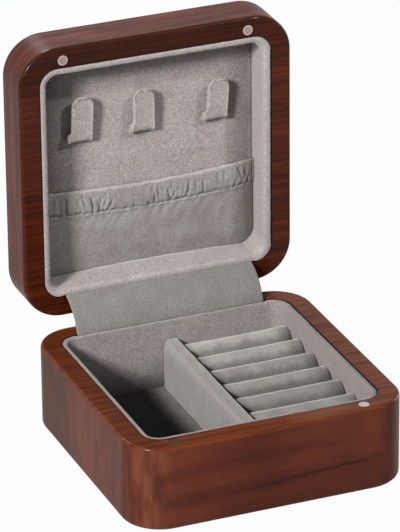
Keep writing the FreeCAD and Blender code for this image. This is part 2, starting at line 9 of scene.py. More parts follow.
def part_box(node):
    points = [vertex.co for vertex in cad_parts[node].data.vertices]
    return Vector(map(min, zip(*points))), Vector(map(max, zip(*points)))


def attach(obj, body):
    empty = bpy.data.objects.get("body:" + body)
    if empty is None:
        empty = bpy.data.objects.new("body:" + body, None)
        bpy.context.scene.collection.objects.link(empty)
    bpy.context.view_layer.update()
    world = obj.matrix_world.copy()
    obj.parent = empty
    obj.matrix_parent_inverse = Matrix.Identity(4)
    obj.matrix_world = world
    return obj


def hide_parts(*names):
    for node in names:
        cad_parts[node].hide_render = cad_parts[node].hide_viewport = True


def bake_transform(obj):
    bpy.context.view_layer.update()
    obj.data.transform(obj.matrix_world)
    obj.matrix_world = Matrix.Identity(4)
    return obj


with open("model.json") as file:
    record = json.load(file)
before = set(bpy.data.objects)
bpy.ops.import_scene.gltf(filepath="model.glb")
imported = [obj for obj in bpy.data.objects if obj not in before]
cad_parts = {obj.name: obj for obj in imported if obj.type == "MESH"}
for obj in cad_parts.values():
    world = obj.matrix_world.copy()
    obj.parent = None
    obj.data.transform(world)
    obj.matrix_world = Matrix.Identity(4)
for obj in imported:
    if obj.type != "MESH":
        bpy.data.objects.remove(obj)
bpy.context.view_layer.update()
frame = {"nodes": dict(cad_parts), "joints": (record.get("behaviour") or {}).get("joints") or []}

# A square walnut jewelry box, standing open, with its velvet lining.
# Soft pieces are drawn in millimetres and written in metres, in the frame of the CAD model.

scene = bpy.context.scene
scene.view_settings.view_transform = "Standard"
MM = 0.001
QUARTER_TURN = math.pi / 2
# how close to a plane a point counts as lying on it, in millimetres
NEAR = 0.01


def span(node):
    """Lowest and highest corner of a CAD node, in millimetres."""
    low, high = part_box(node)
    return low / MM, high / MM


def placed(name, data):
    """A new object in the scene."""
    made = bpy.data.objects.new(name, data)
    scene.collection.objects.link(made)
    return made


# Sizes in millimetres

WIDTH = (-50, 50)
LINING_REACH = 42.5
LINING_ROUND = 6.5
LINING_THICK = 1.7
LIP_DROP = 0.12
BASE_DEPTH = 26.7
LID_DEPTH = 14.5
BOARD_REACH = 40.65
BOARD_ROUND = 4.65
FLOOR_BOARD_THICK = 1.6
LID_BOARD_THICK = 1.4
HEM_REACH = 35.05
HEM_DEPTH = 4.55
HEM_ROOM = 0.9
MAGNET_RADIUS = 2.0

rim_level = span("base_shell")[1].z
lid_low, lid_high = span("lid_shell")
lid_middle = (lid_low.z + lid_high.z) / 2
panel_face = span("lid_panel")[0].y
roll_crest = span("ring_roll_1")[1].z

# Both halves are lined in a frame with the rim at zero, the hollow below it and the hinges at the back

BASE_RIM = Matrix.Translation((0, 0, rim_level))
LID_TURN = Matrix(((-1, 0, 0, 0), (0, 0, -1, 0), (0, -1, 0, 0), (0, 0, 0, 1)))
LID_RIM = Matrix.Translation((0, lid_low.y, lid_middle)) @ LID_TURN


# Parts of a finish

# sockets of a colour mix
MIX_FACTOR, MIX_FIRST, MIX_SECOND = 0, 6, 7
MIX_RESULT = 2
# levels of noise that get a dark, a middle and a light shade
NOISE_LEVELS = (0.34, 0.5, 0.66)


def new_finish(name):
    """A material with its node tree and its main shader."""
    finish = bpy.data.materials.new(name)
    finish.use_nodes = True
    return finish, finish.node_tree, finish.node_tree.nodes["Principled BSDF"]


def put(tree, kind, sockets=None, **properties):
    """Add a node, set its properties, and set or link its sockets."""
    made = tree.nodes.new("ShaderNode" + kind)
    for name, value in properties.items():
        setattr(made, name, value)
    for name, value in (sockets or {}).items():
        if isinstance(value, bpy.types.NodeSocket):
            tree.links.new(value, made.inputs[name])
        else:
            made.inputs[name].default_value = value
    return made


def axes_of(tree, place):
    """A place, split into its three axes."""
    return put(tree, "SeparateXYZ", {"Vector": place}).outputs


def mottled(tree, place, scale, detail, **sockets):
    """Noise over a place."""
    sockets.update(Vector=place, Scale=scale, Detail=detail)
    return put(tree, "TexNoise", sockets).outputs["Fac"]


def sums(tree, operation, *terms):
    """The result of a sum on numbers and sockets."""
    return put(tree, "Math", dict(enumerate(terms)), operation=operation).outputs["Value"]


def blended(tree, factor, first, second, blend_type="MIX"):
    """A colour between two, each a socket or a colour."""
    sockets = {MIX_FACTOR: factor, MIX_FIRST: first, MIX_SECOND: second}
    return put(tree, "Mix", sockets, data_type="RGBA", blend_type=blend_type).outputs[MIX_RESULT]


def multiplied(tree, first, second):
    """One colour times another."""
    return blended(tree, 1, first, second, "MULTIPLY")


def level(tree, factor, low, high):
    """Stretch a factor from nought to one over a range of levels."""
    return put(tree, "MapRange", {"Value": factor, "To Min": low, "To Max": high}).outputs["Result"]


def ramp(tree, factor, stops):
    """Shades at places along a factor: each is a colour or a grey level."""
    made = put(tree, "ValToRGB", {"Fac": factor})
    keys = made.color_ramp.elements
    while len(keys) < len(stops):
        keys.new(0.5)
    for key, (place, shade) in zip(keys, stops):
        key.position = place
        key.color = (*shade, 1) if isinstance(shade, tuple) else (shade, shade, shade, 1)
    return made.outputs["Color"]


def shades_of(tree, lines, shades):
    """A dark, a middle and a light shade over noise."""
    return ramp(tree, lines, list(zip(NOISE_LEVELS, shades)))


def along_length(tree, value, start, end, **properties):
    """From nought to one over a stretch of a length in metres, given in millimetres."""
    stretch = {"Value": value, "From Min": start * MM, "From Max": end * MM}
    return put(tree, "MapRange", stretch, **properties).outputs["Result"]


def ease_between(tree, value, start, end):
    """The same with soft ends."""
    return along_length(tree, value, start, end, interpolation_type="SMOOTHSTEP")


def depth_of_shade(tree, value, start, end, shades):
    """Goes through shades at places along a length."""
    return ramp(tree, along_length(tree, value, start, end), shades)


def surface(tree, shader, colour, roughness, relief=None, strength=0.0, depth=0.0):
    """Link a colour, a roughness and a fine relief to a shader."""
    tree.links.new(colour, shader.inputs["Base Color"])
    tree.links.new(roughness, shader.inputs["Roughness"])
    if relief:
        bump = put(tree, "Bump", {"Height": relief, "Strength": strength, "Distance": depth})
        tree.links.new(bump.outputs["Normal"], shader.inputs["Normal"])


def all_over(shader, settings):
    """Set the sockets that are the same all over a surface."""
    for name, value in settings.items():
        shader.inputs[name].default_value = value


# Walnut

# how the colour darkens and lightens: along the front and sides of the base, over its rim, and up and across
# the lid's rim
# the pale tints at the front's two corners are a painted reflection, a sheen painted into the wood's colour
LEFT_CORNER_SHEEN = (1.18, 1.5, 1.65)
RIGHT_CORNER_SHEEN = (1.35, 1.42, 1.5)
FRONT_SHADES = [(0.0, 0.78), (0.06, LEFT_CORNER_SHEEN), (0.2, 1.18), (0.42, 0.88), (0.5, 0.85), (0.62, 0.97),
                (0.86, 1.0), (0.94, RIGHT_CORNER_SHEEN), (1.0, 1.1)]
SIDE_SHADES = [(0.58, 1.0), (0.7, 0.62)]
RIM_SHADES = [(0.08, 0.8), (0.14, 1.12), (0.86, 1.1), (0.92, 0.97)]
LID_SHADES = [(0.8, 1.0), (0.9, 0.62)]
LID_RIM_SHADES = [(0.86, 1.0), (0.93, 1.2)]
# depths at which the look of a rim, and of the lid's outer face, starts and is full, in millimetres
RIM_FADE = (1.4, 0.5)
FACE_FADE = (1.6, 0.6)
# a painted shadow, the dark line where the wood meets the lining: its shades over a millimetre, its strength
# and its colour
JOINT_SHADOW_SHADES = [(0.2, 1), (0.5, 0)]
JOINT_SHADOW_STRENGTH = 0.9
JOINT_SHADOW_COLOUR = (0.006, 0.003, 0.002, 1)
# the grain: its slant, and how each part of the wood is shifted in it
GRAIN_SLANT = (0.03, -0.05, 0.04)
RIM_SHIFT = (1.3, 0.4, 2.2)
SIDE_SHIFT = (4.1, 3.3, 0.7)
FACE_SHIFT = (2.1, 1.7, 3.9)
PORE_SHIFT = (0.2, 0.9, 0.5)
# long lines of grain on the outer face of the lid
FACE_STRETCH = (9, 60, 170)
FACE_SHADES = ((0.03, 0.007, 0.003), (0.085, 0.018, 0.008), (0.14, 0.036, 0.016))
# dark pores, and cloudy figure
PORE_STRETCH = (150, 2400, 2000)
PORE_SHADES = [(0.3, 1), (0.4, 0)]
PORE_STRENGTH = 0.4
FIGURE_SHADES = [(0.3, (0.87, 0.85, 0.84)), (0.5, 1), (0.72, (1.1, 1.12, 1.14))]
# the one dark streak in the front of the base: middle and wander in metres, the other lengths in millimetres
STREAK_MIDDLE = (0.009, -0.05, 0.0109)
STREAK_SLOPE = -0.066
STREAK_WANDER = 0.0012
STREAK_LENGTH = 62
STREAK_WIDTH = 5.88
STREAK_FADE_BACK = (7.5, 2.5)
STREAK_ACROSS = [(0.0, 0), (0.38, 0.3), (0.47, 1), (0.52, 1), (0.6, 0.3), (0.9, 0)]
STREAK_ALONG = [(0.0, 0), (0.35, 0.8), (0.85, 1), (1.0, 0)]
STREAK_STRENGTH = 0.78
STREAK_COLOUR = (0.014, 0.004, 0.003, 1)
LACQUER = {"Specular IOR Level": 0.045, "Coat Weight": 0.13, "Coat Roughness": 0.13}


def dark_streak(tree, place):
    """One thin dark streak in the front of the base, a little out of level, fading at both ends."""
    lie = {"Vector": place, "Location": STREAK_MIDDLE, "Rotation": (0, STREAK_SLOPE, 0)}
    laid = put(tree, "Mapping", lie, vector_type="TEXTURE").outputs["Vector"]
    axes = axes_of(tree, laid)
    wander = level(tree, mottled(tree, laid, 70, 2), -STREAK_WANDER, STREAK_WANDER)
    off = sums(tree, "ADD", axes["Z"], wander)
    close = depth_of_shade(tree, off, -STREAK_WIDTH / 2, STREAK_WIDTH / 2, STREAK_ACROSS)
    ends = depth_of_shade(tree, axes["X"], -STREAK_LENGTH / 2, STREAK_LENGTH / 2, STREAK_ALONG)
    front = along_length(tree, axes["Y"], *STREAK_FADE_BACK)
    return sums(tree, "MULTIPLY", sums(tree, "MULTIPLY", close, ends), front)


def grain_lines(tree, place, stretch, shift):
    """Lines of grain: noise drawn out along the way the wood grew."""
    growth = {"Vector": place, "Location": shift, "Scale": stretch, "Rotation": GRAIN_SLANT}
    drawn = put(tree, "Mapping", growth).outputs["Vector"]
    return mottled(tree, drawn, 1, 5, Roughness=0.62, Distortion=0.5)


def joint_shadow_line(tree, across, along):
    """One along the wood's inner edge, where it meets the lining and a shadow is painted, and nought
    elsewhere.
    """
    straight = (LINING_REACH - LINING_ROUND) * MM
    over = [sums(tree, "MAXIMUM", sums(tree, "SUBTRACT", sums(tree, "ABSOLUTE", way), straight), 0.0)
            for way in (across, along)]
    squares = [sums(tree, "MULTIPLY", length, length) for length in over]
    away = sums(tree, "SQRT", sums(tree, "ADD", *squares))
    gone = sums(tree, "SUBTRACT", away, LINING_ROUND * MM)
    return ramp(tree, sums(tree, "MULTIPLY", gone, 1 / MM), JOINT_SHADOW_SHADES)


def base_areas(tree, axes):
    """Shares of the base's rim and of the painted shadow at its joint with the lining, and how its sides and
    rim darken.
    """
    rim = ease_between(tree, axes["Z"], *(rim_level - depth for depth in RIM_FADE))
    joint = sums(tree, "MULTIPLY", joint_shadow_line(tree, axes["X"], axes["Y"]), rim)
    across = depth_of_shade(tree, axes["X"], *WIDTH, FRONT_SHADES)
    along = depth_of_shade(tree, axes["Y"], *WIDTH, SIDE_SHADES)
    rim_across = depth_of_shade(tree, axes["X"], *WIDTH, RIM_SHADES)
    return rim, joint, None, multiplied(tree, across, along), rim_across


def lid_areas(tree, axes):
    """Shares of the lid's rim, the painted shadow at its joint with the lining and its outer face, and how
    its rim darkens.
    """
    rim = ease_between(tree, axes["Y"], *(lid_low.y + depth for depth in RIM_FADE))
    up = sums(tree, "SUBTRACT", axes["Z"], lid_middle * MM)
    joint = sums(tree, "MULTIPLY", joint_shadow_line(tree, axes["X"], up), rim)
    outer_face = ease_between(tree, axes["Y"], *(lid_high.y - depth for depth in FACE_FADE))
    rim_up = depth_of_shade(tree, up, *WIDTH, LID_SHADES)
    rim_across = depth_of_shade(tree, axes["X"], *WIDTH, LID_RIM_SHADES)
    return rim, joint, outer_face, None, multiplied(tree, rim_up, rim_across)


def walnut(name, areas, streak, rim_stretch, rim_shades, side_stretch, side_shades):
    """Satin-lacquered walnut: fine lines across the rim, calmer sides, and long lines on an outer face."""
    finish, tree, shader = new_finish(name)
    place = put(tree, "TexCoord").outputs["Object"]
    rim, joint, outer_face, side_depth, rim_depth = areas(tree, axes_of(tree, place))
    rim_lines = grain_lines(tree, place, rim_stretch, RIM_SHIFT)
    side_lines = grain_lines(tree, place, side_stretch, SIDE_SHIFT)
    rim_colour = multiplied(tree, shades_of(tree, rim_lines, rim_shades), rim_depth)
    side_colour = shades_of(tree, side_lines, side_shades)
    if side_depth:
        side_colour = multiplied(tree, side_colour, side_depth)
    if outer_face:
        face_lines = grain_lines(tree, place, FACE_STRETCH, FACE_SHIFT)
        side_colour = blended(tree, outer_face, side_colour, shades_of(tree, face_lines, FACE_SHADES))
    colour = blended(tree, rim, side_colour, rim_colour)
    figure = mottled(tree, place, 55, 3, Roughness=0.55)
    colour = multiplied(tree, colour, ramp(tree, figure, FIGURE_SHADES))
    if streak:
        dark = sums(tree, "MULTIPLY", dark_streak(tree, place), STREAK_STRENGTH)
        colour = blended(tree, dark, colour, STREAK_COLOUR)
    pores = ramp(tree, grain_lines(tree, place, PORE_STRETCH, PORE_SHIFT), PORE_SHADES)
    colour = blended(tree, sums(tree, "MULTIPLY", pores, PORE_STRENGTH), colour, (*side_shades[0], 1))
    # a painted shadow along the joint with the lining
    colour = blended(tree, sums(tree, "MULTIPLY", joint, JOINT_SHADOW_STRENGTH), colour, JOINT_SHADOW_COLOUR)
    smooth_rim = level(tree, side_lines, 0.28, 0.42)
    dull_side = level(tree, side_lines, 0.4, 0.56)
    relief = sums(tree, "SUBTRACT", side_lines, sums(tree, "MULTIPLY", pores, 0.8))
    surface(tree, shader, colour, level(tree, rim, dull_side, smooth_rim), relief, 0.08, 0.0002)
    all_over(shader, LACQUER)
    return finish


lid_walnut = walnut(
    "lid_walnut", lid_areas, streak=False,
    rim_stretch=(18, 70, 720),
    rim_shades=((0.028, 0.006, 0.0025), (0.052, 0.0095, 0.003), (0.078, 0.0165, 0.0055)),
    side_stretch=(30, 330, 22),
    side_shades=((0.02, 0.004, 0.002), (0.062, 0.014, 0.008), (0.115, 0.03, 0.018)))
base_walnut = walnut(
    "base_walnut", base_areas, streak=True,
    rim_stretch=(18, 640, 70),
    rim_shades=((0.085, 0.017, 0.005), (0.145, 0.031, 0.008), (0.2, 0.052, 0.0145)),
    side_stretch=(13, 300, 45),
    side_shades=((0.06, 0.013, 0.007), (0.104, 0.022, 0.0105), (0.15, 0.036, 0.017)))


# Velvet

# how far the edge of a stretch of painted shade strays, in metres
SHADE_WANDER = 0.0015
# shares of the nap and of the finer pile in the grain, and its contrast
NAP_SHARE = 0.6
PILE_SHARE = 0.4
NAP_CONTRAST = 0.62
PILE = {"Specular IOR Level": 0.0, "Sheen Roughness": 0.4, "Sheen Tint": (0.95, 0.92, 0.9, 1)}


def painted_shade_along(tree, place, cloud, axis, dark_end, light_end, darkest):
    """A painted shade that darkens a stretch of the velvet towards one end."""
    strayed = sums(tree, "ADD", axes_of(tree, place)[axis], level(tree, cloud, -SHADE_WANDER, SHADE_WANDER))
    upright = ease_between(tree, strayed, dark_end, light_end)
    return ramp(tree, upright, [(0.0, darkest), (1.0, 1)])


def painted_board_edge(tree, place, middle, start, end, darkest):
    """A painted shade that darkens an upright board towards its edge, where the walls around it cast shade.
    """
    axes = axes_of(tree, place)
    across = sums(tree, "ABSOLUTE", axes["X"])
    along = sums(tree, "ABSOLUTE", sums(tree, "SUBTRACT", axes["Z"], middle * MM))
    shaded = ease_between(tree, sums(tree, "MAXIMUM", across, along), start, end)
    return ramp(tree, shaded, [(0.0, 1), (1.0, darkest)])


def painted_fold_highlight(tree, start, end, gain):
    """A painted highlight that lightens a fold, up the piece's own map."""
    up = axes_of(tree, put(tree, "TexCoord").outputs["UV"])["Y"]
    return ramp(tree, up, [(start, 1), ((start + end) / 2, gain), (end, 1)])


def velvet(name, warm, cool, grain, sheen, space="Object", clouds=0.08, painted_shades=(), edge_shade=None,
           fold_highlight=None):
    """Short-pile velvet: a fine grain of nap over two close tints, faint rubbed clouds and a soft sheen.

    Shade is painted into the colour: each painted stretch gives an axis, the dark and the light end, and the
    darkest share, and the painted shade at a board's edge the middle of an upright board, where its edge
    starts and ends, and the darkest share. A painted highlight on a fold gives where it starts and ends, and
    its gain.
    """
    finish, tree, shader = new_finish(name)
    place = put(tree, "TexCoord").outputs[space]
    cloud = mottled(tree, place, 120, 3, Roughness=0.6)
    nap = mottled(tree, place, 1700, 3, Roughness=0.6)
    pile = mottled(tree, place, 4200, 2, Roughness=0.6)
    tint = blended(tree, level(tree, cloud, -0.6, 1.6), (*warm, 1), (*cool, 1))
    shares = [sums(tree, "MULTIPLY", nap, NAP_SHARE), sums(tree, "MULTIPLY", pile, PILE_SHARE)]
    shade = sums(tree, "ADD", *shares)
    contrast = NAP_CONTRAST * grain
    light = shades_of(tree, shade, (1 - contrast, 1, 1 + contrast))
    rubbed = ramp(tree, cloud, [(0.3, 1 - clouds), (0.7, 1 + clouds)])
    colour = multiplied(tree, multiplied(tree, tint, light), rubbed)
    # shade painted into the colour along stretches
    for lie in painted_shades:
        colour = multiplied(tree, colour, painted_shade_along(tree, place, cloud, *lie))
    # painted shade towards the edge of a board
    if edge_shade:
        colour = multiplied(tree, colour, painted_board_edge(tree, place, *edge_shade))
    # a painted highlight along a fold
    if fold_highlight:
        colour = multiplied(tree, colour, painted_fold_highlight(tree, *fold_highlight))
    relief = sums(tree, "ADD", nap, sums(tree, "MULTIPLY", pile, 0.45))
    surface(tree, shader, colour, level(tree, nap, 0.82, 1.0), relief, 0.3 * grain, 0.0003)
    all_over(shader, {**PILE, "Sheen Weight": sheen})
    return finish


# painted shade: the lining darkens towards its foot and towards the right wall
base_velvet = velvet("base_velvet", (0.32, 0.282, 0.275), (0.304, 0.282, 0.268), grain=0.6, sheen=0.5,
                     painted_shades=[("Z", 5, 19, 0.4), ("X", 42, 36, 0.85)])
# a lighter copy of the base's velvet, painted light, with painted shade towards the right wall
lid_velvet = velvet("lid_velvet", (0.41, 0.362, 0.353), (0.392, 0.363, 0.345), grain=0.7, sheen=0.5,
                    painted_shades=[("X", 43.5, 38, 0.78)])
# painted shadow of the lid's walls: darker to the left and towards the board's edges
board_velvet = velvet("board_velvet", (0.36, 0.312, 0.307), (0.34, 0.312, 0.298), grain=0.7, sheen=0.35,
                      painted_shades=[("X", -38, -20, 0.7)], edge_shade=(lid_middle, 28, 40, 0.6))
# painted shade: darker towards its foot and towards its side to the open bay
divider_velvet = velvet("divider_velvet", (0.362, 0.331, 0.315), (0.343, 0.331, 0.312), grain=0.35, sheen=0.8,
                        painted_shades=[("Z", 15, 24, 0.83), ("X", -2.5, 1.2, 0.84)])
# a lighter copy of the velvet, painted light, with painted shade below each crest, at both ends and towards
# the front
roll_velvet = velvet("roll_velvet", (0.48, 0.446, 0.422), (0.459, 0.446, 0.42), grain=0.35, sheen=0.8,
                     painted_shades=[("Z", roll_crest - 2.9, roll_crest, 0.45), ("X", 1.5, 6.5, 0.6),
                           ("X", 41, 32, 0.5), ("Y", 0, 40, 0.73)])
tab_velvet = velvet("tab_velvet", (0.355, 0.315, 0.303), (0.341, 0.317, 0.301), grain=0.6, sheen=0.35)
# painted shade towards the pocket's right end by the wall; the casing also gets a painted highlight along its
# top fold
pocket_end_shade = [("X", 41, 31.5, 0.5)]
pocket_velvet = velvet("pocket_velvet", (0.284, 0.253, 0.243), (0.271, 0.255, 0.239), grain=0.6, sheen=0.4,
                       clouds=0.13, painted_shades=pocket_end_shade)
ruching_velvet = velvet("ruching_velvet", (0.295, 0.263, 0.253), (0.282, 0.265, 0.248), grain=0.6, sheen=0.4,
                        painted_shades=pocket_end_shade, fold_highlight=(0.74, 0.93, 1.6))
# a darker copy of the velvet, painted shade for the shadowed floor of the open bay, darkest away from the
# divider
floor_velvet = velvet("floor_velvet", (0.24, 0.22, 0.206), (0.23, 0.22, 0.206), grain=0.6, sheen=0.0,
                      painted_shades=[("X", -13, -3, 0.18)])
flap_velvet = velvet("flap_velvet", (0.236, 0.22, 0.202), (0.227, 0.219, 0.202), grain=0.6, sheen=0.3,
                     space="UV", clouds=0.12)


# Metal and thread

FINE_RELIEF = 0.00005
# the axes that lie in the face of a magnet, by the axis it faces along
IN_THE_FACE = {"Z": (1, 1, 0), "Y": (1, 0, 1)}
# plating of the magnets: its dull and its bright shade, and the tints from the middle to the edge, a painted
# highlight and a painted shadow
EDGE_HIGHLIGHT_TINT = (1.85, 1.55, 1.55)
EDGE_HIGHLIGHT_AND_SHADOW = [(0.6, 1.0), (0.72, EDGE_HIGHLIGHT_TINT), (0.85, EDGE_HIGHLIGHT_TINT), (0.95, 0.3)]
# the lid's magnets: a darker copy of the plating, painted as a duller reflection, a pale ring painted as a
# highlight on the edge, and a dark rim painted as the shadow in the gap round it
LID_PLATE = ((0.235, 0.2, 0.172), (0.36, 0.318, 0.275), EDGE_HIGHLIGHT_AND_SHADOW)
BRIGHT_PLATE = ((0.42, 0.37, 0.33), (0.66, 0.61, 0.55), None)
DULL_PLATE = ((0.05, 0.022, 0.014), (0.12, 0.07, 0.05), None)
PLATES = {"base_magnet_left": DULL_PLATE, "base_magnet_right": BRIGHT_PLATE,
          "lid_magnet_left": LID_PLATE, "lid_magnet_right": LID_PLATE}


def plated_steel(name, centre, face, dull, bright, edge):
    """A plated magnet with faint turned rings about its own centre, and tints out to its edge, painted as a
    highlight and a shadow.
    """
    finish, tree, shader = new_finish(name)
    place = put(tree, "TexCoord").outputs["Object"]
    centred = put(tree, "Mapping", {"Vector": place, "Location": -centre}).outputs["Vector"]
    rings = put(tree, "TexWave", {"Vector": centred, "Scale": 900, "Distortion": 1.5, "Detail": 2},
                wave_type="RINGS", rings_direction=face).outputs["Fac"]
    specks = mottled(tree, place, 2600, 3)
    tarnish = sums(tree, "ADD", sums(tree, "MULTIPLY", rings, 0.3), sums(tree, "MULTIPLY", specks, 0.7))
    colour = ramp(tree, tarnish, [(0.3, dull), (0.7, bright)])
    # a painted highlight on the edge and a painted shadow in the gap round the magnet
    if edge:
        flat = put(tree, "Mapping", {"Vector": centred, "Scale": IN_THE_FACE[face]}).outputs["Vector"]
        out = put(tree, "VectorMath", {0: flat}, operation="LENGTH").outputs["Value"]
        colour = multiplied(tree, colour, depth_of_shade(tree, out, 0, MAGNET_RADIUS, edge))
    surface(tree, shader, colour, level(tree, tarnish, 0.3, 0.55), rings, 0.1, FINE_RELIEF)
    all_over(shader, {"Metallic": 0.7})
    return finish


def satin_brass(name):
    """Brushed brass with brighter and darker patches."""
    finish, tree, shader = new_finish(name)
    place = put(tree, "TexCoord").outputs["Object"]
    brushed_place = put(tree, "Mapping", {"Vector": place, "Scale": (120, 4000, 4000)}).outputs["Vector"]
    brushed = mottled(tree, brushed_place, 1, 3)
    patch = mottled(tree, place, 400, 3)
    colour = ramp(tree, patch, [(0.35, (0.5, 0.34, 0.14)), (0.65, (0.76, 0.56, 0.26))])
    surface(tree, shader, colour, level(tree, brushed, 0.25, 0.45), brushed, 0.15, FINE_RELIEF)
    all_over(shader, {"Metallic": 1})
    return finish


def sewing_thread(name):
    """Dark grey thread with a faint twist."""
    finish, tree, shader = new_finish(name)
    twist = mottled(tree, put(tree, "TexCoord").outputs["Object"], 5000, 2)
    colour = ramp(tree, twist, [(0.3, (0.1, 0.09, 0.085)), (0.7, (0.2, 0.185, 0.175))])
    surface(tree, shader, colour, level(tree, twist, 0.6, 0.9))
    return finish


def coat(node, finish):
    """Give a carried-over CAD node its finish."""
    slots = frame["nodes"][node].data.materials
    slots.clear()
    slots.append(finish)


brass = satin_brass("satin_brass")
thread = sewing_thread("sewing_thread")
coat("base_shell", base_walnut)
coat("lid_shell", lid_walnut)
for side in ("left", "right"):
    for half, face in (("base", "Z"), ("lid", "Y")):
        node = f"{half}_magnet_{side}"
        low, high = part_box(node)
        coat(node, plated_steel(f"plated_{node}", (low + high) / 2, face, *PLATES[node]))
        coat(f"hinge_{half}_leaf_{side}", brass)
    coat(f"hinge_pin_{side}", brass)
coat("hinge_base_screws", brass)
coat("hinge_lid_screws", brass)


# Making pieces

def hand_over(name, form, nodes, finish, body=None):
    """Write a drawn form in metres as a smooth piece that stands for CAD nodes and rides on a body."""
    bmesh.ops.scale(form, vec=(MM, MM, MM), verts=form.verts)
    data = bpy.data.meshes.new(name)
    form.to_mesh(data)
    form.free()
    data.shade_smooth()
    data.materials.append(finish)
    made = placed(name, data)
    if body:
        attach(made, body)
    if nodes:
        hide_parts(*nodes)
    return made


def ease(start, end, value):
    """From nought at start to one at end, with soft ends."""
    share = min(1.0, max(0.0, (value - start) / (end - start)))
    return share * share * (3 - 2 * share)


def unevenness(place, grain, seed):
    """Smooth noise between about minus one and one."""
    return noise.noise(place / grain + Vector((seed * 7.3, seed * 3.1, seed * 5.7)))


def waves(place, seed, *sizes):
    """Unevenness of several sizes, each an amount and a grain."""
    return sum(amount * unevenness(place, grain, seed + number)
               for number, (amount, grain) in enumerate(sizes))


def roughen(form, amount, grain, seed):
    """Move each point along its normal, as cloth that lies a little uneven."""
    form.normal_update()
    for vert in form.verts:
        vert.co += vert.normal * amount * unevenness(vert.co, grain, seed)


def slice_evenly(form, axis, low, high, step):
    """Cut a form across an axis at even steps, so that it can be shaped between the cuts."""
    along = Vector([float(n == axis) for n in range(3)])
    cuts = max(1, round((high - low) / step))
    for number in range(1, cuts):
        place = along * (low + (high - low) * number / cuts)
        everything = form.verts[:] + form.edges[:] + form.faces[:]
        bmesh.ops.bisect_plane(form, geom=everything, plane_co=place, plane_no=along, dist=1e-5)


def rounded(form, parts, radius, segments, affect="EDGES"):
    """Round edges or corners off."""
    bmesh.ops.bevel(form, geom=parts, offset=radius, affect=affect, segments=segments,
                    profile=0.5, material=-1)


def rounded_corners(form, radius, chosen):
    """Round the corners of a flat form that pass a test."""
    corners = [vert for vert in form.verts if chosen(vert.co)]
    rounded(form, corners, radius, 8, "VERTICES")


def raised(form, height):
    """Give a flat form a second face above it and the edge between them."""
    parts = bmesh.ops.extrude_face_region(form, geom=form.faces[:], use_keep_orig=True)["geom"]
    points = [part for part in parts if isinstance(part, bmesh.types.BMVert)]
    bmesh.ops.translate(form, verts=points, vec=(0, 0, height))
    bmesh.ops.recalc_face_normals(form, faces=form.faces)


def sharp_edges(form):
    """Edges between faces that meet at a steep angle."""
    return [edge for edge in form.edges if len(edge.link_faces) == 2 and edge.calc_face_angle(0) > 1]


# Linings of the walls

RUN = LINING_REACH - LINING_ROUND
INNER = LINING_REACH - LINING_THICK
HEM_END = -HEM_DEPTH - LIP_DROP
WALL_STEP = 1.3
RUN_STEP = 1.0
CORNER_STEPS = 12
WALL_WAVES = ((0.1, 5.0), (0.05, 1.7))
# the outer skin of a lining is this deep and keeps its place
SKIN = 0.3
# the corners are bridged from below the lip to above the foot
BRIDGE_TOP = (-LIP_DROP, -3)
BRIDGE_FOOT = (1.5, 1.7)
# a wall counts as the hinge side from this far past the corner, and its pillow droops there
HINGE_TURN = 6
HINGE_DROOP = 0.6
# height of the foot that stays by the board, and over which the padding starts: at the sides, at the hinges
FOOT_STILL = (2.0, 1.4)
FOOT_FADE = (2.0, 0.8)
# heights over which a full lip swells
LIP_RISE = (-6.5, -1.0)


def between(pair, share):
    """A value on the way from the first to the second of a pair."""
    return pair[0] + (pair[1] - pair[0]) * share


def carried(form, ring, way, length, step):
    """Draw a ring of edges along a straight run."""
    steps = max(1, round(length / step))
    for _ in range(steps):
        edges = [part for part in ring if isinstance(part, bmesh.types.BMEdge)]
        drawn = bmesh.ops.extrude_edge_only(form, edges=edges)["geom"]
        points = [part for part in drawn if isinstance(part, bmesh.types.BMVert)]
        bmesh.ops.translate(form, verts=points, vec=way * (length / steps))
        ring = drawn
    return [part for part in ring if not isinstance(part, bmesh.types.BMFace)]


def lip_section(form, depth, lip_round):
    """The section of a padded wall: up its inner face, over the lip and down to the end of the hem."""
    section = [(-LINING_REACH, -depth), (-INNER, -depth), (-INNER, -LIP_DROP), (-LINING_REACH, -LIP_DROP),
               (-LINING_REACH, HEM_END)]
    points = [form.verts.new((0, y, z)) for y, z in section]
    form.faces.new(points)
    inner_round, outer_round = lip_round
    rounded(form, [points[2]], inner_round, 7, "VERTICES")
    rounded(form, [points[3]], outer_round, 4, "VERTICES")
    bmesh.ops.delete(form, geom=form.faces[:], context="FACES_ONLY")
    tall = [edge for edge in form.edges
            if edge.calc_length() > depth / 2 and edge.verts[0].co.y > -LINING_REACH + 1]
    bmesh.ops.subdivide_edges(form, edges=tall, cuts=round(depth / WALL_STEP))
    return form.verts[:] + form.edges[:]


def drawn_round(form, ring):
    """Draw a section along the sides of a hollow and spin it round the corners."""
    for side in range(4):
        turn = Matrix.Rotation(side * QUARTER_TURN, 3, "Z")
        ring = carried(form, ring, turn @ Vector((1, 0, 0)), RUN, RUN_STEP)
        spun = bmesh.ops.spin(form, geom=ring, cent=turn @ Vector((RUN, -RUN, 0)), axis=(0, 0, 1),
                              angle=QUARTER_TURN, steps=CORNER_STEPS, use_merge=False)
        ring = [part for part in spun["geom_last"] if not isinstance(part, bmesh.types.BMFace)]
        ring = carried(form, ring, turn @ Vector((0, 1, 0)), RUN, RUN_STEP)
    bmesh.ops.remove_doubles(form, verts=form.verts, dist=0.001)
    bmesh.ops.recalc_face_normals(form, faces=form.faces)


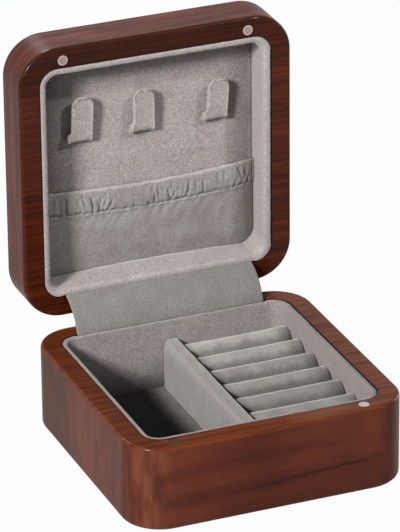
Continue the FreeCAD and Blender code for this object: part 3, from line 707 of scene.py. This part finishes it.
def bridge_corners(form, depth, fill):
    """Let the velvet bridge the inner corners a little."""
    for vert in form.verts:
        x, y, z = vert.co
        over_x = abs(x) - RUN
        over_y = abs(y) - RUN
        if over_x > 0 and over_y > 0 and math.hypot(over_x, over_y) < LINING_ROUND - SKIN:
            share = math.sin(2 * math.atan2(over_y, over_x)) * ease(*BRIDGE_TOP, z)
            share *= ease(*(height - depth for height in BRIDGE_FOOT), z)
            way = Vector((math.copysign(over_x, x), math.copysign(over_y, y), 0)).normalized()
            vert.co -= way * fill * share


def leave_hem_room(form):
    """Leave room for the hem of the flap behind the back wall."""
    for vert in form.verts:
        x, y, z = vert.co
        if y > INNER - 1 and abs(x) < HEM_REACH and z > HEM_END + 0.1:
            vert.co.y = INNER + (y - INNER) * HEM_ROOM / LINING_THICK


def pad_walls(form, depth, lip_swell, pillow, hinge_pillow, seed):
    """Swell the walls: uneven velvet, a pillow that is fullest amid the hinge side, and a full lip."""
    form.normal_update()
    for vert in form.verts:
        if max(abs(vert.co.x), abs(vert.co.y)) < LINING_REACH - SKIN:
            swing = waves(vert.co, seed, *WALL_WAVES)
            hinge_side = ease(-HINGE_TURN, HINGE_TURN, vert.co.y - abs(vert.co.x))
            bow = 1 - (vert.co.x / LINING_REACH) ** 2
            down = min(1.0, max(0.0, -vert.co.z / depth)) ** (1 + HINGE_DROOP * hinge_side)
            swing += between((pillow, hinge_pillow * bow), hinge_side) * math.sin(math.pi * down)
            foot = between(FOOT_STILL, hinge_side) - depth
            vert.co += vert.normal * swing * ease(foot, foot + between(FOOT_FADE, hinge_side), vert.co.z)
            inward = Vector((vert.normal.x, vert.normal.y, 0))
            vert.co += inward * lip_swell * ease(*LIP_RISE, vert.co.z)


def lining(name, node, body, finish, seat, depth, lip_round, lip_swell, corner_fill, pillow, hinge_pillow,
           seed):
    """A padded band round a hollow: a lip section drawn along the sides and spun round the corners."""
    form = bmesh.new()
    drawn_round(form, lip_section(form, depth, lip_round))
    bridge_corners(form, depth, corner_fill)
    leave_hem_room(form)
    pad_walls(form, depth, lip_swell, pillow, hinge_pillow, seed)
    bmesh.ops.transform(form, matrix=seat, verts=form.verts)
    made = hand_over(name, form, [node], finish, body)


lining("base_lining", "base_liner", "base", base_velvet, BASE_RIM, BASE_DEPTH,
       lip_round=(0.7, 0.6), lip_swell=0.0, corner_fill=0.25, pillow=0.0, hinge_pillow=0.0, seed=1)
lining("lid_lining", "lid_liner", "lid", lid_velvet, LID_RIM, LID_DEPTH,
       lip_round=(1.2, 0.45), lip_swell=0.7, corner_fill=0.75, pillow=0.35, hinge_pillow=1.6, seed=2)


# Boards on the floor of the base and inside the lid

BOARD_STEP = 1.6
BOARD_EDGE = 0.4
BOARD_SINK = 0.1
BOARD_WAVES = ((0.1, 14.0), (0.05, 4.0))


def velvet_board(name, node, body, finish, seat, depth, thick, seed):
    """A board wrapped in velvet: a round-cornered sheet in a fine grid, given its edge and a soft face."""
    form = bmesh.new()
    bmesh.ops.create_grid(form, x_segments=1, y_segments=1, size=BOARD_REACH,
                          matrix=Matrix.Translation((0, 0, -depth)))
    rounded_corners(form, BOARD_ROUND, lambda place: True)
    for axis in (0, 1):
        slice_evenly(form, axis, -BOARD_REACH, BOARD_REACH, BOARD_STEP)
    raised(form, thick)
    top_edge = [edge for edge in sharp_edges(form) if min(vert.co.z for vert in edge.verts) > -depth + 0.1]
    rounded(form, top_edge, BOARD_EDGE, 3)
    for vert in form.verts:
        if vert.co.z > -depth + thick - 0.05:
            vert.co.z += waves(vert.co, seed, *BOARD_WAVES) - BOARD_SINK
    bmesh.ops.transform(form, matrix=seat, verts=form.verts)
    made = hand_over(name, form, [node], finish, body)


velvet_board("floor_board", "base_floor_pad", "base", floor_velvet, BASE_RIM, BASE_DEPTH,
             thick=FLOOR_BOARD_THICK, seed=3)
velvet_board("lid_board", "lid_panel", "lid", board_velvet, LID_RIM, LID_DEPTH,
             thick=LID_BOARD_THICK, seed=4)


# Divider and ring rolls, blown up as cloth

BENCH = 0.04
PUFF_FRAMES = 20
PUFF = {"quality": 6, "mass": 0.3, "tension_stiffness": 20, "compression_stiffness": 20, "shear_stiffness": 8,
        "bending_stiffness": 1, "use_pressure": True, "uniform_pressure_force": 4}
DIVIDER_SLACK = Vector((0.35, 0.3, 0.3))
DIVIDER_BAY_ROUND = 2.2
DIVIDER_ROLL_ROUND = 1.0
# the rolls reach a little past their solids at both ends
ROLL_SLACK = Vector((-0.25, 0.2, 0.3))
ROLL_CORNER = 4.6
ROLL_STEP = 0.55
FIRST_ROLL = 1
LAST_ROLL = 7


def evenly_meshed(bench, voxel):
    """The mesh of a form on the bench, made anew with even faces."""
    even = bench.modifiers.new("even", "REMESH")
    even.mode = "VOXEL"
    even.voxel_size = voxel * BENCH
    data = bpy.data.meshes.new_from_object(bench.evaluated_get(bpy.context.evaluated_depsgraph_get()))
    bench.modifiers.clear()
    return data


def blown_up(bench, form, held):
    """The mesh of a form on the bench after some frames as cloth under pressure."""
    pins = bench.vertex_groups.new(name="held")
    pins.add([vert.index for vert in form.verts if held(vert.co / BENCH)], 1.0, "REPLACE")
    cloth = bench.modifiers.new("cloth", "CLOTH")
    for name, value in PUFF.items():
        setattr(cloth.settings, name, value)
    cloth.settings.vertex_group_mass = "held"
    cloth.settings.effector_weights.gravity = 0
    cloth.collision_settings.use_collision = False
    cloth.point_cache.frame_start = 1
    cloth.point_cache.frame_end = PUFF_FRAMES
    for number in range(1, PUFF_FRAMES + 1):
        scene.frame_set(number)
    return bench.evaluated_get(bpy.context.evaluated_depsgraph_get()).data


def puffed(form, voxel, swell, held):
    """Mesh a closed form evenly and blow it up as cloth, in a copy large enough for the solver.

    No point moves further than about swell, and points that pass the test held stay put.
    """
    bmesh.ops.scale(form, vec=(BENCH, BENCH, BENCH), verts=form.verts)
    data = bpy.data.meshes.new("bench_form")
    form.to_mesh(data)
    bench = placed("bench_form", data)
    bench.data = evenly_meshed(bench, voxel)
    form.clear()
    form.from_mesh(bench.data)
    for _ in range(4):
        bmesh.ops.smooth_vert(form, verts=form.verts, factor=0.5,
                              use_axis_x=True, use_axis_y=True, use_axis_z=True)
    form.to_mesh(bench.data)
    blown = blown_up(bench, form, held)
    limit = swell * BENCH
    form.verts.ensure_lookup_table()
    for vert, moved in zip(form.verts, blown.vertices):
        way = moved.co - vert.co
        if way.length > 1e-9:
            vert.co += way.normalized() * limit * math.tanh(way.length / limit)
    scene.frame_set(1)
    bpy.data.objects.remove(bench)
    bmesh.ops.scale(form, vec=(1 / BENCH, 1 / BENCH, 1 / BENCH), verts=form.verts)
    return form


def slack_block(node, slack):
    """A plain block in the room of a CAD node, less some slack at its sides and its top, and its corners."""
    low, high = span(node)
    low, high = low + slack, high - slack
    low.z -= slack.z
    form = bmesh.new()
    place = Matrix.Translation((low + high) / 2)
    bmesh.ops.create_cube(form, size=1, matrix=place @ Matrix.Diagonal((*(high - low), 1)))
    return form, low, high


def edges_at(form, chosen):
    """Edges whose ends both pass a test."""
    return [edge for edge in form.edges if all(chosen(vert.co) for vert in edge.verts)]


def padded_divider():
    """The wall between the open bay and the ring rolls, wadded and round along its top."""
    form, low, high = slack_block("divider", DIVIDER_SLACK)
    bay_side = edges_at(form, lambda place: place.z > high.z - NEAR and place.x < low.x + NEAR)
    rounded(form, bay_side, DIVIDER_BAY_ROUND, 6)
    roll_side = edges_at(form, lambda place: place.z > high.z - NEAR and place.x > high.x - NEAR)
    rounded(form, roll_side, DIVIDER_ROLL_ROUND, 3)
    form = puffed(form, voxel=0.55, swell=0.32, held=lambda place: place.z < low.z + 0.8)
    roughen(form, 0.12, 7.0, 11)
    roughen(form, 0.04, 2.0, 12)
    made = hand_over("padded_divider", form, ["divider"], divider_velvet, "base")


def padded_roll(number):
    """A ring roll: a block with a half-round top, its ends softened and its corner cut to the lining."""
    node = f"ring_roll_{number}"
    form, low, high = slack_block(node, ROLL_SLACK)
    if number in (FIRST_ROLL, LAST_ROLL):
        wall = high.y if number == FIRST_ROLL else low.y
        corner = edges_at(form, lambda place: place.x > high.x - NEAR and abs(place.y - wall) < NEAR)
        rounded(form, corner, ROLL_CORNER, 6)
    half = (high.y - low.y) / 2
    crown = (low.y + high.y) / 2
    slice_evenly(form, 1, low.y, high.y, ROLL_STEP)
    for vert in form.verts:
        if vert.co.z > high.z - NEAR:
            reach = min(1.0, abs(vert.co.y - crown) / half)
            vert.co.z = high.z - half * (1 - math.sqrt(1 - reach * reach))
    form = puffed(form, voxel=0.5, swell=0.3, held=lambda place: place.z < low.z + 6)
    roughen(form, 0.1, 6.0, 20 + number)
    roughen(form, 0.04, 1.8, 40 + number)
    made = hand_over(f"padded_roll_{number}", form, [node], roll_velvet, "base")


padded_divider()
for number in range(FIRST_ROLL, LAST_ROLL + 1):
    padded_roll(number)


# Necklace tabs on the lid's board

TAB_HALF = 4.0
TAB_THICK = 1.5
TAB_HEM = 0.75
TAB_HEM_RISE = 0.13
TAB_TIP = 3.75
TAB_EDGE = 0.5
TAB_STEP = 0.5
TAB_BEND = 0.8
TAB_NECK = 1.65
TAB_LEAN = 0.06
# the tab leans sideways above this height
TAB_TILT_FROM = 4
# the foot is crumpled, and its fold sticks out at the left: how far, up to which height and from where across
FOOT_CRUMPLED = (8.5, 5.0)
FOLD_OUT = 1.4
FOLD_TOP = (5.3, 4.3)
FOLD_SIDE = (-1.5, -TAB_HALF)


def tab_place(across, along, over, foot):
    """Where a point of the flat tab comes to lie: out of the board, round the bend and up."""
    bend_length = TAB_BEND * QUARTER_TURN
    middle = foot + TAB_THICK / 2
    if along < TAB_NECK:
        out, up = along, middle
        facing = (0.0, -1.0)
    elif along < TAB_NECK + bend_length:
        turn = (along - TAB_NECK) / TAB_BEND
        out = TAB_NECK + TAB_BEND * math.sin(turn)
        up = middle + TAB_BEND * (1 - math.cos(turn))
        facing = (math.sin(turn), -math.cos(turn))
    else:
        rise = along - TAB_NECK - bend_length
        out = TAB_NECK + TAB_BEND + rise * TAB_LEAN
        up = middle + TAB_BEND + rise
        facing = (1.0, 0.0)
    return Vector((across, panel_face - out - over * facing[0], up + over * facing[1]))


def necklace_tab(side, length, tilt, shift, seed):
    """A velvet tab with a hemmed edge and a round tip, bent up from its foot in the board."""
    low, high = span(f"hook_{side}")
    middle = (low.x + high.x) / 2
    form = bmesh.new()
    bmesh.ops.create_grid(form, x_segments=1, y_segments=1, size=0.5)
    bmesh.ops.translate(form, verts=form.verts, vec=(0, 0.5, 0))
    bmesh.ops.scale(form, vec=(2 * TAB_HALF, length, 1), verts=form.verts)
    rounded_corners(form, TAB_TIP, lambda place: place.y > length - NEAR)
    bmesh.ops.inset_region(form, faces=form.faces[:], thickness=TAB_HEM, use_even_offset=True)
    slice_evenly(form, 0, -TAB_HALF, TAB_HALF, TAB_STEP)
    slice_evenly(form, 1, 0, length, TAB_STEP)
    bmesh.ops.translate(form, verts=form.verts, vec=(0, 0, -TAB_THICK / 2))
    raised(form, TAB_THICK)
    rounded(form, sharp_edges(form), TAB_EDGE, 4)
    tip = length - TAB_TIP
    for vert in form.verts:
        x, y, over = vert.co
        edge = TAB_HALF - abs(x) if y < tip else min(TAB_HALF - abs(x), TAB_HALF - math.hypot(x, y - tip))
        if over > 0:
            over -= TAB_HEM_RISE * ease(TAB_HEM - 0.35, TAB_HEM + 0.6, edge)
        swing = unevenness(Vector((x, y, seed)), 2.4, seed) * 0.12
        swing += unevenness(Vector((x * 0.4, y, seed)), 0.9, seed + 3) * 0.16 * ease(*FOOT_CRUMPLED, y)
        fold = ease(*FOLD_TOP, y) * ease(*FOLD_SIDE, x)
        across = shift + x + tilt * max(0.0, y - TAB_TILT_FROM) - FOLD_OUT * fold
        vert.co = tab_place(middle + across, y, over + swing, low.z)
    made = hand_over(f"necklace_tab_{side}", form, [f"hook_{side}"], tab_velvet, "lid")


necklace_tab("left", length=18.6, tilt=0.03, shift=0.1, seed=5)
necklace_tab("middle", length=17.8, tilt=-0.02, shift=0.4, seed=6)
necklace_tab("right", length=16.9, tilt=0.055, shift=-0.45, seed=7)


# Gathered pocket

POCKET_HALF = 40.6
POCKET_FOOT = 42.75
POCKET_SEAM = 66.7
POCKET_TOP = 74.9
POCKET_SAG = 2.0
POCKET_CORNER = 6.2
POCKET_STEP = 0.4
FOOT_BOW = 0.7
SAG_MIDDLE = 4.0
CLOTH_THICK = 0.5
CASING_OUT = 2.1
CASING_FOLD = 0.85
# nearest that the casing and the cloth come to the board
CASING_CLOSE = 0.28
CLOTH_CLOSE = 0.3
# share of the casing's strip that shows at the front, and how far its back hangs below the fold, in folds
FRONT_SHARE = 0.7
BACK_DROP = 1.2
STITCH_STEP = 1.6
STITCH_SIZE = (0.55, 0.16, 0.14)
STITCH_SUNK = 0.2
STITCH_CLOSE = 0.6
# where the ruches pinch the casing: place at the seam, depth, width, lean, and the shares of the height that
# they run between
RUCHES = [
    (-39.6, 0.5, 0.6, 0.0, 0.0, 0.9), (-37.6, 0.4, 0.8, 0.0, 0.1, 0.9), (-35.2, 0.4, 0.6, 0.05, 0.1, 0.8),
    (-32.3, 0.5, 0.8, 0.0, 0.15, 0.9), (-30.1, 1.0, 0.7, -0.08, 0.0, 0.85),
    (-25.8, 0.45, 0.6, 0.05, 0.3, 0.8), (-24.5, 0.5, 0.5, -0.1, 0.05, 0.35),
    (-22.6, 0.7, 0.6, -0.2, 0.3, 0.95), (-19.9, 1.0, 0.6, -0.15, 0.0, 0.75),
    (-18.6, 0.4, 0.5, 0.0, 0.4, 0.9), (-18.0, 0.95, 0.55, 0.15, 0.0, 0.7),
    (-15.2, 0.6, 0.5, 0.0, 0.5, 0.95), (-14.8, 1.0, 0.55, 0.45, 0.0, 0.5),
    (-10.9, 0.35, 0.5, -0.05, 0.6, 0.95), (-5.0, 0.6, 0.5, 0.2, 0.0, 0.25),
    (0.8, 0.6, 0.6, -0.75, 0.1, 0.8), (0.9, 0.9, 0.6, 0.0, 0.0, 0.2), (2.9, 1.0, 0.5, 0.0, 0.0, 0.45),
    (4.5, 0.6, 0.5, -0.05, 0.3, 0.75), (8.9, 1.1, 0.6, -0.28, 0.0, 0.6), (9.2, 0.9, 0.5, 0.4, 0.0, 0.5),
    (11.7, 0.4, 0.5, 0.1, 0.3, 0.8), (13.6, 0.4, 0.4, 0.0, 0.3, 0.7), (15.2, 0.95, 0.6, 0.15, 0.15, 0.85),
    (18.6, 0.4, 0.5, 0.0, 0.4, 0.8), (21.3, 0.9, 0.4, 0.0, 0.05, 0.7), (27.0, 0.35, 0.6, 0.0, 0.5, 0.95),
    (29.4, 0.35, 0.6, 0.0, 0.5, 0.95), (33.2, 0.6, 0.5, 0.2, 0.0, 0.3), (36.6, 0.8, 0.5, -0.3, 0.5, 0.95),
    (37.2, 0.7, 0.6, 0.0, 0.3, 0.9), (37.8, 0.8, 0.5, 0.2, 0.0, 0.4), (39.9, 0.6, 0.5, 0.0, 0.0, 1.0),
]
RUCH_SPREAD = 1.15
RUCH_REACH = 5
# cloth drawn out of a pinch stands up beside it: its share of the depth, and how much wider it is
BESIDE_PINCH = 0.4
BESIDE_WIDTH = 2.1
CROWD_REACH = 1.8


def sag(across):
    """The slack top of the pocket hangs lowest near the middle."""
    side = POCKET_HALF - SAG_MIDDLE if across > SAG_MIDDLE else POCKET_HALF + SAG_MIDDLE
    share = (across - SAG_MIDDLE) / side
    return POCKET_SAG * (1 - share * share)


def pinch(across, height, share):
    """How deep the ruches pinch the casing at a height above the seam."""
    deep = 0.0
    for place, depth, width, lean, low, high in RUCHES:
        off = (across - place - lean * height) / (RUCH_SPREAD * width)
        if abs(off) < RUCH_REACH:
            run = ease(low - 0.12, low + 0.1, share) * ease(high + 0.12, high - 0.15, share)
            beside = BESIDE_PINCH * math.exp(-(off / BESIDE_WIDTH) ** 2)
            deep += depth * run * (math.exp(-off * off) - beside)
    return deep


def fullness(across):
    """How full of small ruffles the casing is: most where the ruches crowd."""
    crowd = sum(depth * math.exp(-((across - place) / CROWD_REACH) ** 2) for place, depth, *_ in RUCHES)
    return 0.2 + 0.8 * ease(0.2, 1.6, crowd)


def seam_dip(across):
    """How deep the sewing pulls the cloth in at the seam, uneven along it."""
    return max(0.0, 0.4 + 0.9 * unevenness(Vector((across, 0, 0)), 1.8, 64))


def thickened(made):
    """Give a piece of the pocket the thickness of its cloth."""
    body = made.modifiers.new("cloth_thickness", "SOLIDIFY")
    body.thickness = CLOTH_THICK * MM
    body.offset = 0


def mapped(form, name, place):
    """Lay a piece's own map over a flat form, by a place for each point."""
    own_map = form.loops.layers.uv.new(name)
    for face in form.faces:
        for loop in face.loops:
            loop[own_map].uv = place(loop.vert.co)


def pocket_ruching():
    """The casing of the pocket: a strip drawn over the elastic, pinched by its ruches, rolled to the back."""
    form = bmesh.new()
    bmesh.ops.create_grid(form, x_segments=360, y_segments=40, size=1)
    mapped(form, "strip", lambda place: ((place.x + 1) / 2, (place.y + 1) / 2))
    rise = POCKET_TOP - POCKET_SEAM - CASING_FOLD
    for vert in form.verts:
        across = vert.co.x * POCKET_HALF
        share = (vert.co.y + 1) / 2
        wave = 0.2 * unevenness(Vector((across, 0, 0)), 2.2, 61)
        wave += 0.1 * unevenness(Vector((across, 9, 0)), 0.9, 62)
        front = min(1.0, share / FRONT_SHARE)
        height = rise * front
        arch = math.sin(math.pi * front)
        ruffle = 0.5 * unevenness(Vector((across + 0.25 * height, height * 0.25, 0)), 0.95, 63)
        ruffle += 0.3 * unevenness(Vector((across - 0.2 * height, height * 0.22, 5)), 0.6, 65)
        deep = pinch(across, height, front) * (1 - 0.5 * ease(0.85, 1.0, front))
        out = CASING_OUT + 0.25 * arch + ruffle * fullness(across) * (0.3 + 0.7 * arch) - 1.05 * deep
        out -= (0.15 + seam_dip(across)) * ease(0.16, 0.0, front)
        up = POCKET_SEAM + height * (rise + wave) / rise - sag(across)
        if share > FRONT_SHARE:
            roll = math.pi * (share - FRONT_SHARE) / (1 - FRONT_SHARE)
            out -= CASING_FOLD * (1 - math.cos(roll))
            up += CASING_FOLD * math.sin(roll)
            if roll > QUARTER_TURN:
                up -= BACK_DROP * CASING_FOLD * (1 - math.sin(roll))
        vert.co = (across, panel_face - max(CASING_CLOSE, out), up)
    bmesh.ops.recalc_face_normals(form, faces=form.faces)
    bmesh.ops.smooth_vert(form, verts=form.verts, factor=0.3, use_axis_y=True, use_axis_z=True)
    made = hand_over("pocket_ruching", form, ["pocket_casing", "pocket_elastic"], ruching_velvet, "lid")
    thickened(made)


def pocket_front():
    """The cloth of the pocket: slack in the middle, creased under the seam, cut to the corners."""
    form = bmesh.new()
    bmesh.ops.create_grid(form, x_segments=1, y_segments=1, size=1)
    seam_line = POCKET_SEAM + 0.3
    for vert in form.verts:
        vert.co = (vert.co.x * POCKET_HALF, seam_line if vert.co.y > 0 else POCKET_FOOT, 0)
    rounded_corners(form, POCKET_CORNER, lambda place: place.y < POCKET_FOOT + NEAR)
    slice_evenly(form, 0, -POCKET_HALF, POCKET_HALF, POCKET_STEP)
    slice_evenly(form, 1, POCKET_FOOT, seam_line, POCKET_STEP)
    tall = POCKET_SEAM - POCKET_FOOT
    for vert in form.verts:
        across, up, _ = vert.co
        share = min(1.0, (up - POCKET_FOOT) / tall)
        below = POCKET_SEAM - up
        belly = 0.3 + 1.35 * ease(-0.05, 0.36, share) - 0.15 * ease(0.6, 1.0, share)
        sides = 1 - 0.45 * ease(POCKET_HALF - 5, POCKET_HALF, abs(across))
        folds = 0.16 * unevenness(Vector((across, up * 0.3, 0)), 3.2, 71)
        creases = 0.3 * unevenness(Vector((across - 0.5 * up, up * 0.2, 0)), 2.0, 72) * ease(0.45, 1.0, share)
        out = belly * sides + (folds + creases) * ease(0, 0.2, share)
        out -= pinch(across, -below, 0.05) * 0.35 * ease(4.0, 0.5, below)
        out += 0.3 * ease(2.2, 0.9, below)
        out -= (0.1 + seam_dip(across)) * ease(0.8, 0.1, below)
        up += FOOT_BOW * (1 - (across / POCKET_HALF) ** 2) * (1 - share) ** 2
        vert.co = (across, panel_face - max(CLOTH_CLOSE, out), up - sag(across) * share ** 3)
    bmesh.ops.recalc_face_normals(form, faces=form.faces)
    made = hand_over("pocket_front", form, ["pocket_cloth"], pocket_velvet, "lid")
    thickened(made)


def pocket_stitches():
    """The sewn line under the casing, as short stitches of thread sunk into the cloth."""
    form = bmesh.new()
    first = 1 - POCKET_HALF
    for number in range(int(-2 * first / STITCH_STEP)):
        across = first + STITCH_STEP * (number + 0.5)
        out = max(STITCH_CLOSE, CASING_OUT - STITCH_SUNK - seam_dip(across))
        place = Matrix.Translation((across, panel_face - out, POCKET_SEAM - sag(across) + 0.1))
        slope = sag(across + 0.5) - sag(across - 0.5)
        lie = Matrix.Rotation(slope, 4, "Y") @ Matrix.Diagonal((*STITCH_SIZE, 1))
        bmesh.ops.create_icosphere(form, subdivisions=1, radius=1, matrix=place @ lie)
    hand_over("pocket_stitches", form, [], thread, "lid")


pocket_ruching()
pocket_front()
pocket_stitches()


# Cloth flap over the hinges

FLAP_HALF = 34.8
FLAP_THICK = 0.6
# radius of the bow, how far the cloth lies inside its solid, and how far it waves
FLAP_BOW = 18.0
FLAP_INSET = 0.35
FLAP_WAVE = 0.22


def hinge_flap():
    """A strip from behind the base's lining, bowed over the hinges, to behind the lid's lining."""
    axis = Vector(frame["joints"][0]["pos_m"]) / MM
    low, high = span("hinge_flap")
    near_y = low.y + FLAP_INSET
    lid_z = high.z - FLAP_INSET
    base_end = Vector((0, near_y, low.z))
    lid_end = Vector((0, high.y, lid_z))
    start = Vector((0, near_y, axis.z))
    end = Vector((0, axis.y, lid_z))
    chord = end - start
    bow = 2 * math.asin(chord.length / 2 / FLAP_BOW)
    across_chord = Vector((0, chord.z, -chord.y)).normalized()
    centre = start + chord / 2 + across_chord * math.sqrt(FLAP_BOW ** 2 - (chord.length / 2) ** 2)
    arm = start - centre
    if (Matrix.Rotation(bow, 3, "X") @ arm - (end - centre)).length > 0.1:
        bow = -bow
    hem_low = (start - base_end).length
    hem_high = (lid_end - end).length
    arc = abs(bow) * FLAP_BOW
    whole = hem_low + arc + hem_high
    form = bmesh.new()
    bmesh.ops.create_grid(form, x_segments=140, y_segments=56, size=0.5)
    mapped(form, "cloth", lambda place: (place.x * 2 * FLAP_HALF * MM, place.y * whole * MM))
    for vert in form.verts:
        across = vert.co.x * 2 * FLAP_HALF
        along = (vert.co.y + 0.5) * whole
        if along < hem_low:
            place = base_end.lerp(start, along / hem_low)
        elif along > hem_low + arc:
            place = end.lerp(lid_end, (along - hem_low - arc) / hem_high)
        else:
            share = (along - hem_low) / arc
            place = centre + Matrix.Rotation(bow * share, 3, "X") @ arm
            swing = FLAP_WAVE * unevenness(Vector((across, along, 0)), 9.0, 81) * math.sin(math.pi * share)
            place += (place - centre).normalized() * swing
        vert.co = (across, place.y, place.z)
    bmesh.ops.recalc_face_normals(form, faces=form.faces)
    bmesh.ops.solidify(form, geom=form.faces[:], thickness=FLAP_THICK)
    made = hand_over("cloth_flap", form, ["hinge_flap"], flap_velvet)
    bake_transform(made)


hinge_flap()


# Floor, light and camera, in metres

FLOOR_REACH = 6
FLOOR_GREY = (0.45, 0.45, 0.45, 1)
# share of plain white in the floor where it is seen, so that it keeps the shadow
FLOOR_WHITE = 0.97
BOX_MIDDLE = Vector((0, 0.02, 0.06))
LID_MIDDLE = Vector((0.004, panel_face * MM, 0.1))


def seen_itself(tree):
    """One for rays that show a surface, straight or in gloss or glass, and nought for the rest."""
    rays = put(tree, "LightPath").outputs
    seen = sums(tree, "MAXIMUM", rays["Is Camera Ray"], rays["Is Glossy Ray"])
    return sums(tree, "MAXIMUM", seen, rays["Is Transmission Ray"])


def floor():
    """A white floor that keeps the shadow and reads as white behind the box."""
    form = bmesh.new()
    bmesh.ops.create_grid(form, x_segments=1, y_segments=1, size=FLOOR_REACH)
    data = bpy.data.meshes.new("floor")
    form.to_mesh(data)
    form.free()
    placed("floor", data)
    finish, tree, shader = new_finish("floor_white")
    all_over(shader, {"Base Color": FLOOR_GREY, "Roughness": 0.9})
    white = put(tree, "Emission", {"Color": (1, 1, 1, 1), "Strength": 1.0})
    share = sums(tree, "MULTIPLY", seen_itself(tree), FLOOR_WHITE)
    both = put(tree, "MixShader", {0: share, 1: shader.outputs["BSDF"], 2: white.outputs["Emission"]})
    tree.links.new(both.outputs["Shader"], tree.nodes["Material Output"].inputs["Surface"])
    data.materials.append(finish)


def room_light(fill):
    """A white room: plain white where it is seen, and a soft fill on the box."""
    world = bpy.data.worlds.new("white_room")
    scene.world = world
    world.use_nodes = True
    tree = world.node_tree
    background = tree.nodes["Background"]
    background.inputs["Color"].default_value = (1, 1, 1, 1)
    tree.links.new(level(tree, seen_itself(tree), fill, 1.0), background.inputs["Strength"])


def hung(name, light, power, target, direction, distance):
    """Hang a lamp in a direction from a target, turned to it."""
    light.energy = power
    lamp = placed(name, light)
    way = Vector(direction).normalized()
    lamp.location = target + way * distance
    lamp.rotation_mode = "QUATERNION"
    lamp.rotation_quaternion = (-way).to_track_quat("-Z", "Y")


def softbox(name, direction, distance, size, power):
    """A square lamp turned to the box."""
    light = bpy.data.lights.new(name, "AREA")
    light.shape = "SQUARE"
    light.size = size
    hung(name, light, power, BOX_MIDDLE, direction, distance)


def lid_spot(name, direction, distance, power):
    """A narrow lamp from the upper right that lights the inside of the lid."""
    light = bpy.data.lights.new(name, "SPOT")
    light.spot_size = math.radians(9.5)
    light.spot_blend = 0.6
    light.shadow_soft_size = 0.05
    hung(name, light, power, LID_MIDDLE, direction, distance)


def photo_camera():
    """The camera of the photograph, solved from the edges of the box."""
    azimuth = math.radians(-22.14)
    elevation = math.radians(24.95)
    roll = math.radians(-0.59)
    distance = 1.5507
    aim = Vector((0.00193, 0.020, 0.05943))
    away = Vector((math.sin(azimuth) * math.cos(elevation), -math.cos(azimuth) * math.cos(elevation),
                   math.sin(elevation)))
    lens = bpy.data.cameras.new("photo_camera")
    lens.sensor_width = 36
    lens.lens = 307.5
    lens.clip_end = 30
    camera = placed("photo_camera", lens)
    camera.location = aim + away * distance
    camera.rotation_mode = "QUATERNION"
    level_view = (-away).to_track_quat("-Z", "Y").to_matrix()
    camera.rotation_quaternion = (level_view @ Matrix.Rotation(roll, 3, "Z")).to_quaternion()
    scene.camera = camera


floor()
room_light(fill=0.01)
softbox("window_light", (-0.72, -0.5, 0.48), distance=1.3, size=0.22, power=21.5)
softbox("ceiling_light", (-0.6, 0.0, 1), distance=1.2, size=0.3, power=1.5)
softbox("back_light", (0, 0.743, 0.669), distance=1.3, size=0.25, power=12)
softbox("right_light", (1, 0.35, 0.15), distance=1.3, size=0.5, power=6)
lid_spot("lid_light", (0.456, -0.57, 0.684), distance=1.0, power=17)
photo_camera()
